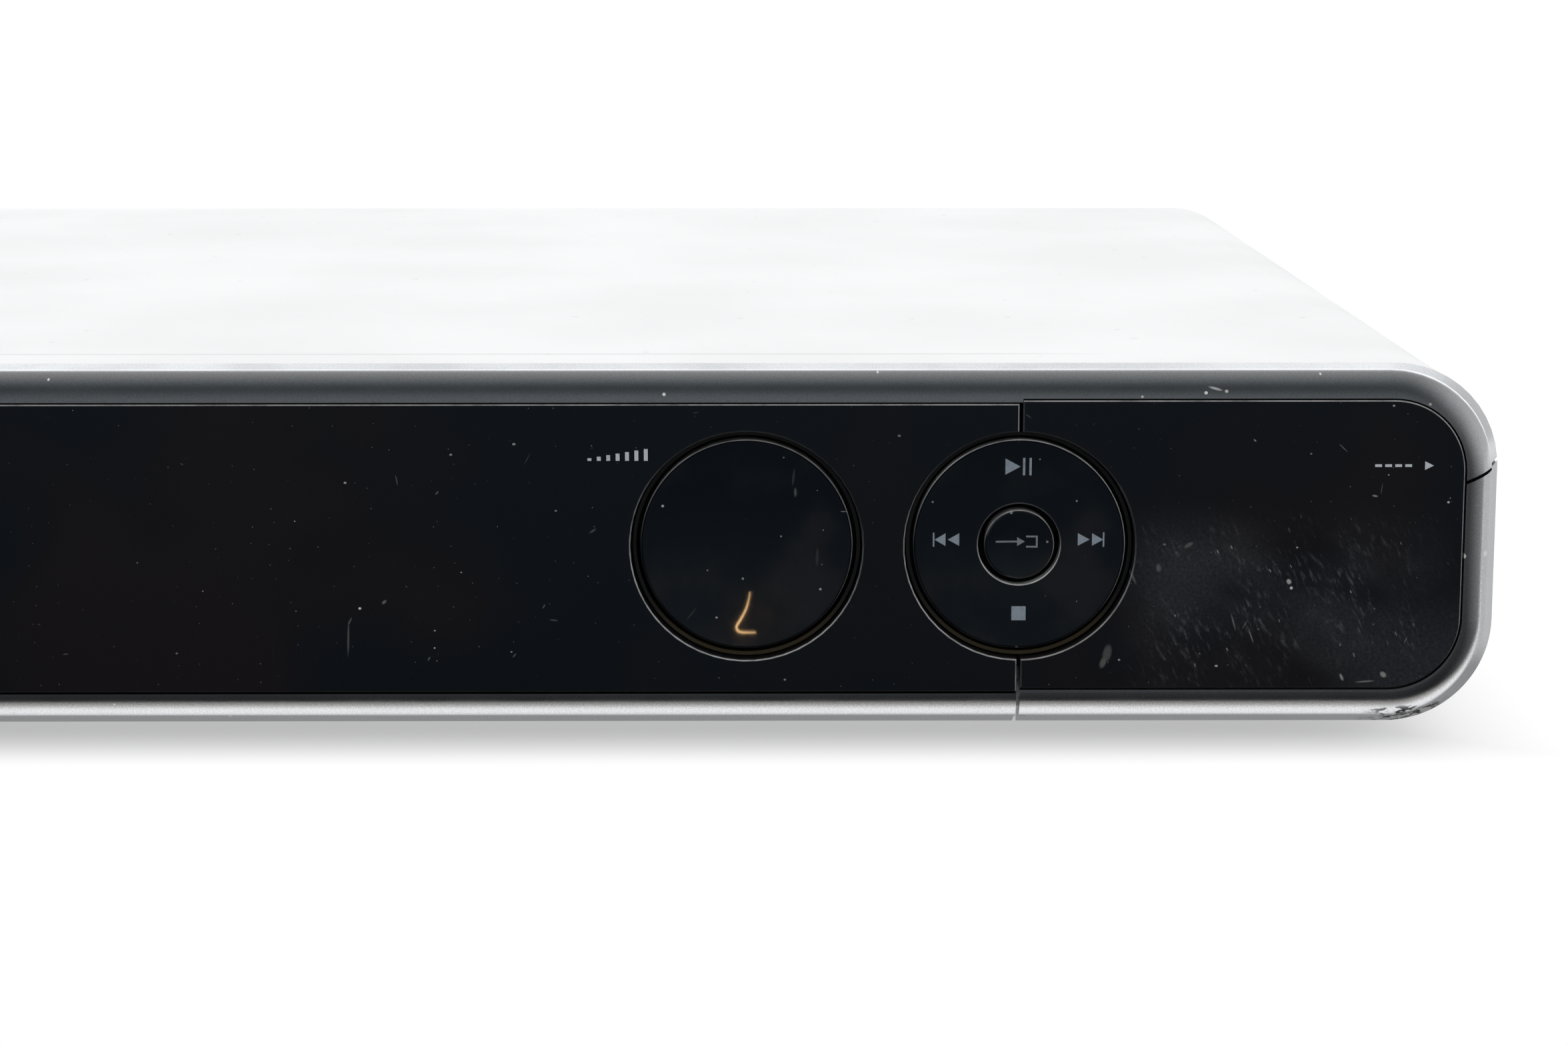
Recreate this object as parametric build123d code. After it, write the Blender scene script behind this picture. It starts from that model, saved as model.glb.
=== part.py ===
from build123d import *
import os
from math import atan2, cos, degrees, hypot, pi, radians, sin, tan

# Disc player main unit. X runs along the width, Y from front (-) to back (+), Z up, in mm.
# The origin is on the surface that the player stands on, under the middle of its box.

# ---- Case -------------------------------------------------------------------------------
WIDTH = 435.0
DEPTH = 310.0
HALF_W = WIDTH / 2
FRONT_Y = -DEPTH / 2
REAR_Y = DEPTH / 2

RIM_Y = FRONT_Y + 8.5
RIM_BOTTOM = 6.3
RIM_TOP = 63.6
RIM_R = 16.5
CREASE_Y = FRONT_Y + 5.0
CREASE_HALF_W = 215.8
CREASE_BOTTOM = 8.0
CREASE_TOP = 63.1
CREASE_R = 16.0
BAND_R = 4.8
SHELL_HALF_W = 213.4
SHELL_BOTTOM = 10.2
SHELL_TOP = 61.4
SHELL_R = 13.6

PANEL_HALF_W = 210.8
PANEL_BOTTOM = 12.9
PANEL_TOP = 58.3
PANEL_R = 11.2
PANEL_BACK = FRONT_Y + 2.6
PLATE_BACK = PANEL_BACK + 1.8
PANEL_GAP = 0.25
EDGE_BEVEL = 0.25

COVER_INSET = 0.3
COVER_FRONT = RIM_Y + 0.3
COVER_BACK = 149.0
SHEET = 1.0
COVER_LIP_HALF_W = 199.0
SIDE_VENT_W = 2.4
SIDE_VENT_H = 9.0
SIDE_VENT_PITCH = 8.0
SIDE_VENT_FIRST_Y = 18.0
SIDE_VENT_COLUMNS = 13
SIDE_VENT_ROWS = (24.0, 36.0, 48.0)
BASE_HALF_W = 202.0
BASE_BOTTOM = 7.7
BASE_TOP = BASE_BOTTOM + SHEET
BASE_FRONT = FRONT_Y + 13.0
REAR_PANEL_Y = 147.0
FOOT_R = 9.0
FOOT_X = 175.0
FOOT_Y = 104.0

# ---- Flap at the right ------------------------------------------------------------------
SEAM_X = 142.0
SEAM_GAP = 0.55
FLAP_LIFT = 0.55
FLAP_X = SEAM_X + SEAM_GAP / 2
NOTCH_Z = 48.6
NOTCH_GAP = 0.8
NOTCH_SLOPE = 0.39
HINGE_Y = FRONT_Y + 7.8
HINGE_Z = 10.6
HINGE_PIN_R = 0.85
HINGE_BORE_R = 0.92
HINGE_LUG_R = 2.0
HINGE_LUGS = (148.0, 200.0)
HINGE_LUG_T = 3.0
HINGE_REACH = HINGE_LUG_T / 2 + 1.9

# ---- Controls ---------------------------------------------------------------------------
CONTROL_Z = 36.0
KNOB_X = 99.6
KNOB_R = 16.5
KNOB_HOLE_R = 18.0
RING_X = SEAM_X
RING_R = 16.5
RING_HOLE_R = 17.9
RING_INNER_R = 6.4
BUTTON_R = 5.45
DISC_FRONT = FRONT_Y + 1.7
RING_BACK = DISC_FRONT + 2.4
TILT_Y = FRONT_Y + 6.7
WELL_FRONT = FRONT_Y + 9.1
WELL_BACK = WELL_FRONT + 1.6
SWITCH_TOP = FRONT_Y + 13.7
BOARD_FRONT = FRONT_Y + 17.1
BOARD_T = 1.6
STEM_END = SWITCH_TOP - 0.9
PUSHER_R = 7.6
POWER_X = -201.0
POWER_R = 4.2
EJECT_X = -30.0
EJECT_W = 12.0
EJECT_H = 5.0
LEFT_BUTTON_Z = 41.5

# ---- Disc loader ------------------------------------------------------------------------
LOADER_X = -118.0
LOADER_HALF_W = 75.0
LOADER_FRONT = FRONT_Y + 9.0
LOADER_BACK = 42.0
LOADER_BOTTOM = 12.0
LOADER_TOP = 50.0
LOADER_WALL = 2.5
LOADER_FLOOR = 14.4
SPINDLE_Y = -75.0

TRAY_HALF_W = 70.2
TRAY_FRONT = FRONT_Y + 3.6
TRAY_BACK = 26.0
TRAY_BOTTOM = 40.3
TRAY_DECK = 42.2
TRAY_TOP = 46.3
DISC_WELL_R = 61.0
SMALL_DISC_WELL_R = 40.5
TRAY_FRONT_HALF_W = 74.0
TRAY_FRONT_BOTTOM = 34.6
TRAY_FRONT_TOP = 48.4
TRAY_GAP = 0.4

MODULE = 1.2
GEAR_TEETH = 20
PINION_TEETH = 10
GEAR_R = MODULE * GEAR_TEETH / 2
PINION_R = MODULE * PINION_TEETH / 2
GEAR_X = -150.0
GEAR_Y = -129.0
PINION_X = GEAR_X + GEAR_R + PINION_R
MOTOR_X = -95.0
PULLEY_R = 13.0
MOTOR_PULLEY_R = 4.0
BELT_DEPTH = 1.0
BELT_Z = 29.3
RACK_BOTTOM = 36.3

# The traverse hangs at its back on a cross axis, nose down by this angle while no disc plays.
TRAVERSE_Y = -5.0
TRAVERSE_Z = 30.5
TRAVERSE_DROP = 7.0
CAM_Y = -103.5
CAM_TRAVEL = 24.0
CAM_PIN_R = 1.2
CAM_PIN_OFFSET = 22.0
SLED_LENGTH = 20.0
LENS_Y = SPINDLE_Y + 24.0
ROD_X = 22.0
ROD_Z = 35.0
ROD_R = 1.5
SCREW_X = 32.0
SCREW_R = 1.9

# ---- Back and electronics ---------------------------------------------------------------
FAN_X = -20.0
FAN_HALF_W = 25.0
FAN_Z = 35.0
FAN_DEPTH = 15.0
BOARD_Z = 18.0
SPEAKER_PAIRS = 5
FAN_HOLE_R = 23.6

# Connector bodies at the back: left, right, bottom and top.
CONNECTOR_FRONT = REAR_PANEL_Y + SHEET
CONNECTOR_GAP = 0.2
INLET_BODY = (-196.0, -171.0, 16.0, 34.0)
SPEAKER_BODY = (-150.0, -60.0, 20.0, 46.0)
AV_BODY = (25.0, 76.0, 21.0, 45.0)
HDMI_BODY = (95.5, 110.5, 20.3, 26.9)
PHONO_COLUMNS = 4
PHONO_PITCH = 12.3
PHONO_ROWS = (27.0, 39.0)
PHONO_R = 4.2
ANTENNA_X = 160.0
ANTENNA_Z = 30.0
ANTENNA_R = 4.8
ANTENNA_HOLE_R = 6.2


def block(x0, x1, y0, y1, z0, z1):
    """A box from its limits on each axis."""
    middle = Pos((x0 + x1) / 2, (y0 + y1) / 2, (z0 + z1) / 2)
    return middle * Box(x1 - x0, y1 - y0, z1 - z0)


def rod_x(x0, x1, y, z, r):
    return Pos((x0 + x1) / 2, y, z) * Rot(0, 90, 0) * Cylinder(r, x1 - x0)


def rod_y(x, y0, y1, z, r):
    return Pos(x, (y0 + y1) / 2, z) * Rot(90, 0, 0) * Cylinder(r, y1 - y0)


def rod_z(x, y, z0, z1, r):
    return Pos(x, y, (z0 + z1) / 2) * Cylinder(r, z1 - z0)


def front_plane(x, y, z):
    """A plane across the unit that faces the front, with its own X to the right and Y up."""
    return Plane(origin=(x, y, z), x_dir=(1, 0, 0), z_dir=(0, -1, 0))


def outline(x0, x1, z0, z1, r, y):
    """A rounded rectangle across the unit at depth y."""
    return front_plane((x0 + x1) / 2, y, (z0 + z1) / 2) * RectangleRounded(x1 - x0, z1 - z0, r)


def slab(x0, x1, z0, z1, r, y0, y1):
    """A plate with rounded corners that faces the front."""
    return extrude(outline(x0, x1, z0, z1, r, y1), amount=y1 - y0)


def bevel_front(part, size=EDGE_BEVEL):
    """Breaks the edges of the foremost face."""
    face = part.faces().sort_by(Axis.Y)[0]
    return chamfer(face.edges(), size)


def gear(teeth, z0, z1, turn=0.0):
    """A spur gear with straight-sided teeth and some backlash, first tooth at angle turn."""
    pitch_r = MODULE * teeth / 2
    tip_r = pitch_r + 0.75 * MODULE
    root_r = pitch_r - 1.1 * MODULE
    body = Circle(root_r)
    for i in range(teeth):
        tooth = Polyline(
            (root_r - 0.3, -0.9 * MODULE),
            (tip_r, -0.33 * MODULE),
            (tip_r, 0.33 * MODULE),
            (root_r - 0.3, 0.9 * MODULE),
            close=True,
        )
        body += Rot(0, 0, turn + i * 360 / teeth) * make_face(tooth)
    return Pos(0, 0, z0) * extrude(body, amount=z1 - z0)


def lowered(shape):
    """Tips a piece of the traverse from its playing position down to its rest."""
    axis = Axis((0, TRAVERSE_Y, TRAVERSE_Z), (1, 0, 0))
    return shape.rotate(axis, TRAVERSE_DROP)


def export(shape, node):
    export_step(shape, "parts/" + node + ".step")


os.makedirs("parts", exist_ok=True)


# ======== Silver frame and flap trim =====================================================
# One continuous frame, cut in two: the fixed bezel and the flap's trim. Its front band is
# rounded back from the panel to a crease, and a thin rim flares behind the crease.

def whole_frame():
    band = slab(-CREASE_HALF_W, CREASE_HALF_W, CREASE_BOTTOM, CREASE_TOP, CREASE_R, FRONT_Y, CREASE_Y)
    band = fillet(band.faces().sort_by(Axis.Y)[0].edges(), BAND_R)
    crease = outline(-CREASE_HALF_W, CREASE_HALF_W, CREASE_BOTTOM, CREASE_TOP, CREASE_R, CREASE_Y)
    rim = outline(-HALF_W, HALF_W, RIM_BOTTOM, RIM_TOP, RIM_R, RIM_Y)
    frame = band + loft([crease, rim], ruled=True)
    inside = slab(-SHELL_HALF_W, SHELL_HALF_W, SHELL_BOTTOM, SHELL_TOP, SHELL_R, PANEL_BACK, RIM_Y + 1)
    return frame - inside


def panel_opening(lift, x0, x1):
    opening = slab(
        -PANEL_HALF_W - PANEL_GAP,
        PANEL_HALF_W + PANEL_GAP,
        PANEL_BOTTOM - PANEL_GAP + lift,
        PANEL_TOP + PANEL_GAP + lift,
        PANEL_R + PANEL_GAP,
        FRONT_Y - 1,
        RIM_Y,
    )
    return opening & block(x0, x1, FRONT_Y - 2, RIM_Y + 1, 0, 80)


def flap_zone(grow):
    """What belongs to the flap: right of the seam and under the slanting cut at the side."""
    left = FLAP_X - grow
    cut = NOTCH_Z - NOTCH_GAP / 2 + grow
    slant = NOTCH_SLOPE * (HALF_W - 180.0)
    corners = Polyline(
        (left, 0.0),
        (HALF_W + 10, 0.0),
        (HALF_W + 10, cut + NOTCH_SLOPE * 10),
        (180.0, cut - slant),
        (left, cut - slant),
        close=True,
    )
    return extrude(front_plane(0, RIM_Y + 2, 0) * make_face(corners), amount=20)


frame_body = whole_frame()
frame_body -= panel_opening(0.0, -HALF_W, FLAP_X)
frame_body -= panel_opening(FLAP_LIFT, FLAP_X, HALF_W)

front_bezel = frame_body - flap_zone(SEAM_GAP)
export(front_bezel, "front_bezel")


def flap_outline(inset, y0, y1):
    plate = slab(
        -PANEL_HALF_W + inset,
        PANEL_HALF_W - inset,
        PANEL_BOTTOM + FLAP_LIFT + inset,
        PANEL_TOP + FLAP_LIFT - inset,
        PANEL_R - inset,
        y0,
        y1,
    )
    return plate & block(FLAP_X, HALF_W, y0 - 1, y1 + 1, 0, 80)


def make_flap_trim():
    trim = frame_body & flap_zone(0.0)
    backing_back = PLATE_BACK - 0.3
    upper = flap_outline(0.4, PANEL_BACK, backing_back)
    lower = slab(
        -SHELL_HALF_W - 0.2,
        SHELL_HALF_W + 0.2,
        SHELL_BOTTOM - 0.2,
        SHELL_TOP,
        SHELL_R,
        PANEL_BACK,
        backing_back,
    )
    lower &= block(FLAP_X, HALF_W, FRONT_Y, RIM_Y, 0, 44)
    trim += upper + lower
    trim += block(FLAP_X, FLAP_X + 1.2, PANEL_BACK, RIM_Y, RIM_BOTTOM + 2.2, SHELL_BOTTOM + 3)
    for x in HINGE_LUGS:
        for side in (-1, 1):
            cheek_x = x + side * (HINGE_LUG_T / 2 + 0.3 + 0.8)
            cheek = rod_x(cheek_x - 0.8, cheek_x + 0.8, HINGE_Y, HINGE_Z, HINGE_LUG_R)
            cheek += block(
                cheek_x - 0.8,
                cheek_x + 0.8,
                backing_back - 0.2,
                HINGE_Y,
                HINGE_Z - HINGE_LUG_R + 0.4,
                HINGE_Z + HINGE_LUG_R,
            )
            trim += cheek
        reach = HINGE_LUG_T / 2 + 0.3
        trim -= rod_x(x - reach, x + reach, HINGE_Y, HINGE_Z, HINGE_LUG_R + 0.4)
        trim -= rod_x(x - HINGE_REACH, x + HINGE_REACH, HINGE_Y, HINGE_Z, HINGE_PIN_R)
    hook = block(188, 194, backing_back - 0.2, WELL_FRONT + 2.0, 53.0, 54.4)
    hook += block(188, 194, WELL_FRONT + 0.6, WELL_FRONT + 2.0, 52.2, 54.4)
    trim += hook
    return trim - rod_y(RING_X, FRONT_Y - 1, RIM_Y, CONTROL_Z, RING_HOLE_R)


flap_trim = make_flap_trim()
export(flap_trim, "door_trim")

door_panel = flap_outline(0.0, FRONT_Y, PANEL_BACK)
door_panel -= rod_y(RING_X, FRONT_Y - 1, RIM_Y, CONTROL_Z, RING_HOLE_R)
export(bevel_front(door_panel), "door_panel")

hinge_pins = Part()
for lug_x in HINGE_LUGS:
    hinge_pins += rod_x(lug_x - HINGE_REACH, lug_x + HINGE_REACH, HINGE_Y, HINGE_Z, HINGE_PIN_R)
export(hinge_pins, "hinge_pins")


# ======== Black front panel and the frame behind it ======================================

def tray_gate(grow, y0, y1):
    return block(
        LOADER_X - TRAY_FRONT_HALF_W - grow,
        LOADER_X + TRAY_FRONT_HALF_W + grow,
        y0,
        y1,
        TRAY_FRONT_BOTTOM - grow,
        TRAY_FRONT_TOP + grow,
    )


def eject_pill(grow, y0, y1):
    shape = RectangleRounded(EJECT_W + 2 * grow, EJECT_H + 2 * grow, EJECT_H / 2 + grow - 0.01)
    return extrude(front_plane(EJECT_X, y1, LEFT_BUTTON_Z) * shape, amount=y1 - y0)


fascia_panel = slab(-PANEL_HALF_W, PANEL_HALF_W, PANEL_BOTTOM, PANEL_TOP, PANEL_R, FRONT_Y, PANEL_BACK)
fascia_panel &= block(-HALF_W, SEAM_X - SEAM_GAP / 2, FRONT_Y - 1, RIM_Y, 0, 80)
fascia_panel -= rod_y(KNOB_X, FRONT_Y - 1, RIM_Y, CONTROL_Z, KNOB_HOLE_R)
fascia_panel -= rod_y(RING_X, FRONT_Y - 1, RIM_Y, CONTROL_Z, RING_HOLE_R)
fascia_panel -= rod_y(POWER_X, FRONT_Y - 1, RIM_Y, LEFT_BUTTON_Z, POWER_R + 0.3)
fascia_panel -= eject_pill(0.3, FRONT_Y - 1, RIM_Y)
fascia_panel -= tray_gate(TRAY_GAP, FRONT_Y - 1, RIM_Y)
export(bevel_front(fascia_panel), "fascia_panel")


def make_front_frame():
    frame = slab(
        -SHELL_HALF_W + 0.3,
        SHELL_HALF_W - 0.3,
        SHELL_BOTTOM + 0.3,
        SHELL_TOP - 0.3,
        SHELL_R,
        PANEL_BACK,
        PLATE_BACK,
    )
    frame &= block(-HALF_W, SEAM_X - SEAM_GAP, FRONT_Y, RIM_Y, 0, 80)
    frame -= tray_gate(1.0, FRONT_Y, RIM_Y)
    frame -= block(-6, 66, FRONT_Y, RIM_Y, 25, 47)
    frame -= rod_y(KNOB_X, FRONT_Y, RIM_Y, CONTROL_Z, KNOB_HOLE_R)
    frame -= rod_y(RING_X, FRONT_Y, RIM_Y, CONTROL_Z, RING_HOLE_R)
    frame -= rod_y(POWER_X, FRONT_Y, RIM_Y, LEFT_BUTTON_Z, POWER_R + 0.3)
    frame -= eject_pill(0.3, FRONT_Y, RIM_Y)
    frame += block(-204, -194, PLATE_BACK - 0.2, BASE_FRONT, 12.6, 14.2)
    frame += block(-42, 140, PLATE_BACK - 0.2, BASE_FRONT, 12.6, 14.2)
    for x in (-207.5, -38.5, 72.0):
        frame += block(x - 1.0, x + 1.0, PLATE_BACK - 0.2, BASE_FRONT, 14.0, 30.0)
    return frame


export(make_front_frame(), "front_frame")


# ======== Cover, base, back and feet =====================================================

def cover_outline(inset, y0, y1):
    edge = COVER_INSET + inset
    return slab(
        -HALF_W + edge,
        HALF_W - edge,
        RIM_BOTTOM + edge,
        RIM_TOP - edge,
        RIM_R - edge,
        y0,
        y1,
    )


def make_top_cover():
    cover = cover_outline(0.0, COVER_FRONT, COVER_BACK) - cover_outline(SHEET, COVER_FRONT - 1, COVER_BACK - SHEET)
    back_hole = slab(-207, 207, -20, 55, 8, COVER_BACK - SHEET - 1, COVER_BACK + 1)
    cover -= back_hole
    cover -= block(-COVER_LIP_HALF_W, COVER_LIP_HALF_W, COVER_FRONT - 1, COVER_BACK + 1, 0, RIM_BOTTOM + 5)
    hinge_room = block(190, 220, COVER_FRONT - 1, BASE_FRONT - 0.3, 0, HINGE_Z + 2.2)
    cover -= hinge_room
    for z in SIDE_VENT_ROWS:
        for column in range(SIDE_VENT_COLUMNS):
            y = SIDE_VENT_FIRST_Y + column * SIDE_VENT_PITCH
            side_plane = Plane(origin=(0, y, z), x_dir=(0, 1, 0), z_dir=(1, 0, 0))
            slot = side_plane * SlotOverall(SIDE_VENT_H, SIDE_VENT_W, rotation=90)
            cover -= extrude(slot, amount=HALF_W + 1, both=True)
    return cover


export(make_top_cover(), "top_cover")


def make_base_pan():
    pan = block(-BASE_HALF_W, BASE_HALF_W, BASE_FRONT, REAR_PANEL_Y, BASE_BOTTOM, BASE_TOP)
    pan += block(-BASE_HALF_W, BASE_HALF_W, BASE_FRONT, BASE_FRONT + SHEET, BASE_TOP, 17.0)
    for side in (-1, 1):
        inner = side * (BASE_HALF_W - SHEET)
        outer = side * BASE_HALF_W
        pan += block(min(inner, outer), max(inner, outer), BASE_FRONT, REAR_PANEL_Y, BASE_TOP, 17.0)
    pan -= block(-194, -42, BASE_FRONT - 1, BASE_FRONT + 2, LOADER_BOTTOM - 0.3, 20.0)
    for x, y in loader_feet():
        pan += rod_z(x, y, BASE_TOP, LOADER_BOTTOM, 4.0)
    for x, y in board_posts():
        pan += rod_z(x, y, BASE_TOP, BOARD_Z, 3.0)
    for i in range(12):
        vent = Pos(70.0 + i * 8.0, -60.0, BASE_BOTTOM - 1) * extrude(SlotOverall(40.0, 2.4, rotation=90), amount=4)
        pan -= vent
    return pan


def loader_feet():
    return [(LOADER_X + sx * 68.0, y) for sx in (-1, 1) for y in (LOADER_FRONT + 7.0, LOADER_BACK - 7.0)]


def board_posts():
    power = [(x, y) for x in (-190.0, -70.0) for y in (58.0, 126.0)]
    main = [(x, y) for x in (-25.0, 150.0) for y in (40.0, 122.0)]
    return power + main


export(make_base_pan(), "base_pan")

feet = Part()
for sx in (-1, 1):
    for sy in (-1, 1):
        foot = rod_z(sx * FOOT_X, sy * FOOT_Y, 0, BASE_BOTTOM, FOOT_R)
        foot = fillet(foot.faces().sort_by(Axis.Z)[0].edges(), 1.5)
        feet += foot
export(feet, "feet")


def connector_block(body, y0, y1, grow=0.0):
    x0, x1, z0, z1 = body
    return block(x0 - grow, x1 + grow, y0, y1, z0 - grow, z1 + grow)


def make_rear_panel():
    panel = slab(-213, 213, BASE_TOP + 0.1, 61.6, 13, REAR_PANEL_Y, REAR_PANEL_Y + SHEET)
    y0 = REAR_PANEL_Y - 1
    y1 = REAR_PANEL_Y + 3
    for body in (INLET_BODY, SPEAKER_BODY, AV_BODY, HDMI_BODY):
        panel -= connector_block(body, y0, y1, CONNECTOR_GAP)
    panel -= rod_y(ANTENNA_X, y0, y1, ANTENNA_Z, ANTENNA_HOLE_R)
    for i in range(9):
        z = FAN_Z - 20.0 + i * 5.0
        half = (22.5 ** 2 - (z - FAN_Z) ** 2) ** 0.5
        slot = front_plane(FAN_X, y1, z) * SlotOverall(2 * half, 3.0)
        panel -= extrude(slot, amount=y1 - y0)
    return panel


export(make_rear_panel(), "rear_panel")


def screw_head(r, t):
    """A pan head with a cross recess, standing on its own XY plane."""
    head = Pos(0, 0, t / 2) * Cylinder(r, t)
    head = fillet(head.faces().sort_by(Axis.Z)[-1].edges(), 0.5)
    for turn in (0, 90):
        head -= Pos(0, 0, t) * Rot(0, 0, turn) * Box(1.3 * r, 0.5, 1.2)
    return head


case_screws = Part()
for x in (-180.0, -60.0, 60.0, 180.0):
    case_screws += Pos(x, COVER_BACK, 58.6) * Rot(-90, 0, 0) * screw_head(2.6, 1.6)
for x in (-210.6, 210.6):
    case_screws += Pos(x, COVER_BACK, 35.0) * Rot(-90, 0, 0) * screw_head(2.6, 1.6)
for x, y in loader_feet() + board_posts():
    case_screws += Pos(x, y, BASE_BOTTOM) * Rot(180, 0, 0) * screw_head(2.8, 1.4)
export(case_screws, "case_screws")


# ======== Controls =======================================================================

def dished_disc(r, front, back, dish, hole=0.0):
    """A disc that faces the front, hollowed a little towards its middle."""
    start = max(hole, 0.0)
    rim = r - 0.35
    depth = front + dish * (1 - (start / rim) ** 2)
    half = (start + rim) / 2
    bow = front + dish * (1 - (half / rim) ** 2)
    face = ThreePointArc((start, depth), (half, bow), (rim, front))
    rest = Polyline((rim, front), (r, front + 0.35), (r, back), (start, back), (start, depth))
    profile = make_face(Plane.XY * (face + rest))
    return revolve(profile, Axis.Y)


def make_volume_knob():
    knob = dished_disc(KNOB_R, DISC_FRONT, FRONT_Y + 5.4, 0.7)
    knob += rod_y(0, FRONT_Y + 5.2, BOARD_FRONT - 2.0, 0, 3.0)
    return Pos(KNOB_X, 0, CONTROL_Z) * knob


export(make_volume_knob(), "volume_knob")


def make_control_ring():
    ring = dished_disc(RING_R, DISC_FRONT, RING_BACK, 0.35, RING_INNER_R)
    for side in (-1, 1):
        low = min(side * 13.6, side * 15.4)
        lug = block(-1.6, 1.6, RING_BACK - 0.2, TILT_Y + 1.4, low, low + 1.8)
        lug -= rod_z(0, TILT_Y, low - 1, low + 3, 0.9)
        ring += lug
    for turn in range(4):
        stem = rod_y(PUSHER_R, RING_BACK - 0.2, SWITCH_TOP - 0.6, 0, 0.8)
        ring += Rot(0, 90 * turn, 0) * stem
    return Pos(RING_X, 0, CONTROL_Z) * ring


export(make_control_ring(), "control_ring")


def make_ring_carrier():
    carrier = rod_y(0, TILT_Y - 0.7, TILT_Y + 0.7, 0, 12.8) - rod_y(0, TILT_Y - 2, TILT_Y + 2, 0, 9.5)
    for side in (-1, 1):
        inner = side * 12.4
        outer = side * 15.2
        carrier += rod_x(min(inner, outer), max(inner, outer), TILT_Y, 0, 0.8)
        carrier += rod_z(0, TILT_Y, min(inner, outer), max(inner, outer), 0.8)
    return Pos(RING_X, 0, CONTROL_Z) * carrier


export(make_ring_carrier(), "ring_carrier")

source_button = dished_disc(BUTTON_R, DISC_FRONT - 0.2, FRONT_Y + 5.0, 0.3)
source_button += rod_y(0, FRONT_Y + 4.8, STEM_END, 0, 2.0)
export(Pos(RING_X, 0, CONTROL_Z) * source_button, "source_button")

power_button = rod_y(POWER_X, FRONT_Y + 0.2, FRONT_Y + 4.4, LEFT_BUTTON_Z, POWER_R)
power_button = bevel_front(power_button)
power_button += rod_y(POWER_X, FRONT_Y + 4.2, STEM_END, LEFT_BUTTON_Z, 1.8)
export(power_button, "power_button")

eject_button = bevel_front(eject_pill(0.0, FRONT_Y + 0.2, FRONT_Y + 4.4))
eject_button += rod_y(EJECT_X, FRONT_Y + 4.2, STEM_END, LEFT_BUTTON_Z, 1.8)
export(eject_button, "eject_button")


def make_control_well():
    """The black carrier behind the knob and the ring, with a wall round each of them."""
    well = block(76.0, 161.0, WELL_FRONT, WELL_BACK, 15.0, 61.0)
    for x, hole_r in ((KNOB_X, KNOB_HOLE_R), (RING_X, RING_HOLE_R)):
        wall = rod_y(x, PANEL_BACK, WELL_FRONT + 0.2, CONTROL_Z, hole_r - 0.3)
        well += wall - rod_y(x, PANEL_BACK - 1, WELL_FRONT, CONTROL_Z, hole_r - 0.85)
    well -= rod_y(KNOB_X, WELL_FRONT - 1, WELL_BACK + 1, CONTROL_Z, 3.4)
    well -= rod_y(RING_X, WELL_FRONT - 1, WELL_BACK + 1, CONTROL_Z, 2.4)
    for turn in range(4):
        x = RING_X + PUSHER_R * cos(turn * pi / 2)
        z = CONTROL_Z + PUSHER_R * sin(turn * pi / 2)
        well -= rod_y(x, WELL_FRONT - 1, WELL_BACK + 1, z, 1.5)
    for side in (-1, 1):
        low = min(side * 13.6, side * 15.4) + RING_X
        lug = block(low, low + 1.8, TILT_Y - 1.5, WELL_FRONT + 0.2, CONTROL_Z - 1.6, CONTROL_Z + 1.6)
        well += lug - rod_x(low - 1, low + 3, TILT_Y, CONTROL_Z, 0.9)
    well += hinge_lug(HINGE_LUGS[0], WELL_BACK)
    return well


def hinge_lug(x, back):
    """An eye for the flap's hinge pin, hanging from the plate above it."""
    half = HINGE_LUG_T / 2
    lug = rod_x(x - half, x + half, HINGE_Y, HINGE_Z, HINGE_LUG_R)
    lug += block(x - half, x + half, HINGE_Y - HINGE_LUG_R, HINGE_Y + HINGE_LUG_R, HINGE_Z, 17.0)
    lug += block(x - half, x + half, HINGE_Y, back, 13.0, 17.0)
    return lug - rod_x(x - 5, x + 5, HINGE_Y, HINGE_Z, HINGE_BORE_R)


export(make_control_well(), "control_well")

USB_X = 178.0
USB_Z = 40.0
JACK_Z = 24.0
JACKS = (171.0, 187.0)
JACK_R = 1.8


def make_socket_plate():
    plate = slab(100.0, 212.9, 13.0, 61.0, 13.0, WELL_FRONT - 1.9, WELL_FRONT + 0.1)
    plate &= block(161.3, 213.5, FRONT_Y, 0, 0, 80)
    plate -= block(USB_X - 7.2, USB_X + 7.2, FRONT_Y, 0, USB_Z - 3.6, USB_Z + 3.6)
    for x in JACKS:
        plate -= rod_y(x, FRONT_Y, 0, JACK_Z, 4.1)
    plate -= block(187.4, 194.6, FRONT_Y, 0, 51.6, 55.2)
    plate += hinge_lug(HINGE_LUGS[1], WELL_FRONT + 0.1)
    return plate


export(make_socket_plate(), "socket_plate")

usb_shell = block(USB_X - 7.0, USB_X + 7.0, WELL_FRONT - 1.9, WELL_FRONT + 12.0, USB_Z - 3.4, USB_Z + 3.4)
usb_shell -= block(USB_X - 6.3, USB_X + 6.3, WELL_FRONT - 2.9, WELL_FRONT + 9.0, USB_Z - 2.6, USB_Z + 2.6)
usb_socket = usb_shell + block(USB_X - 5.6, USB_X + 5.6, WELL_FRONT - 0.9, WELL_FRONT + 9.2, USB_Z + 0.2, USB_Z + 2.0)
export(usb_socket, "usb_socket")

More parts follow.
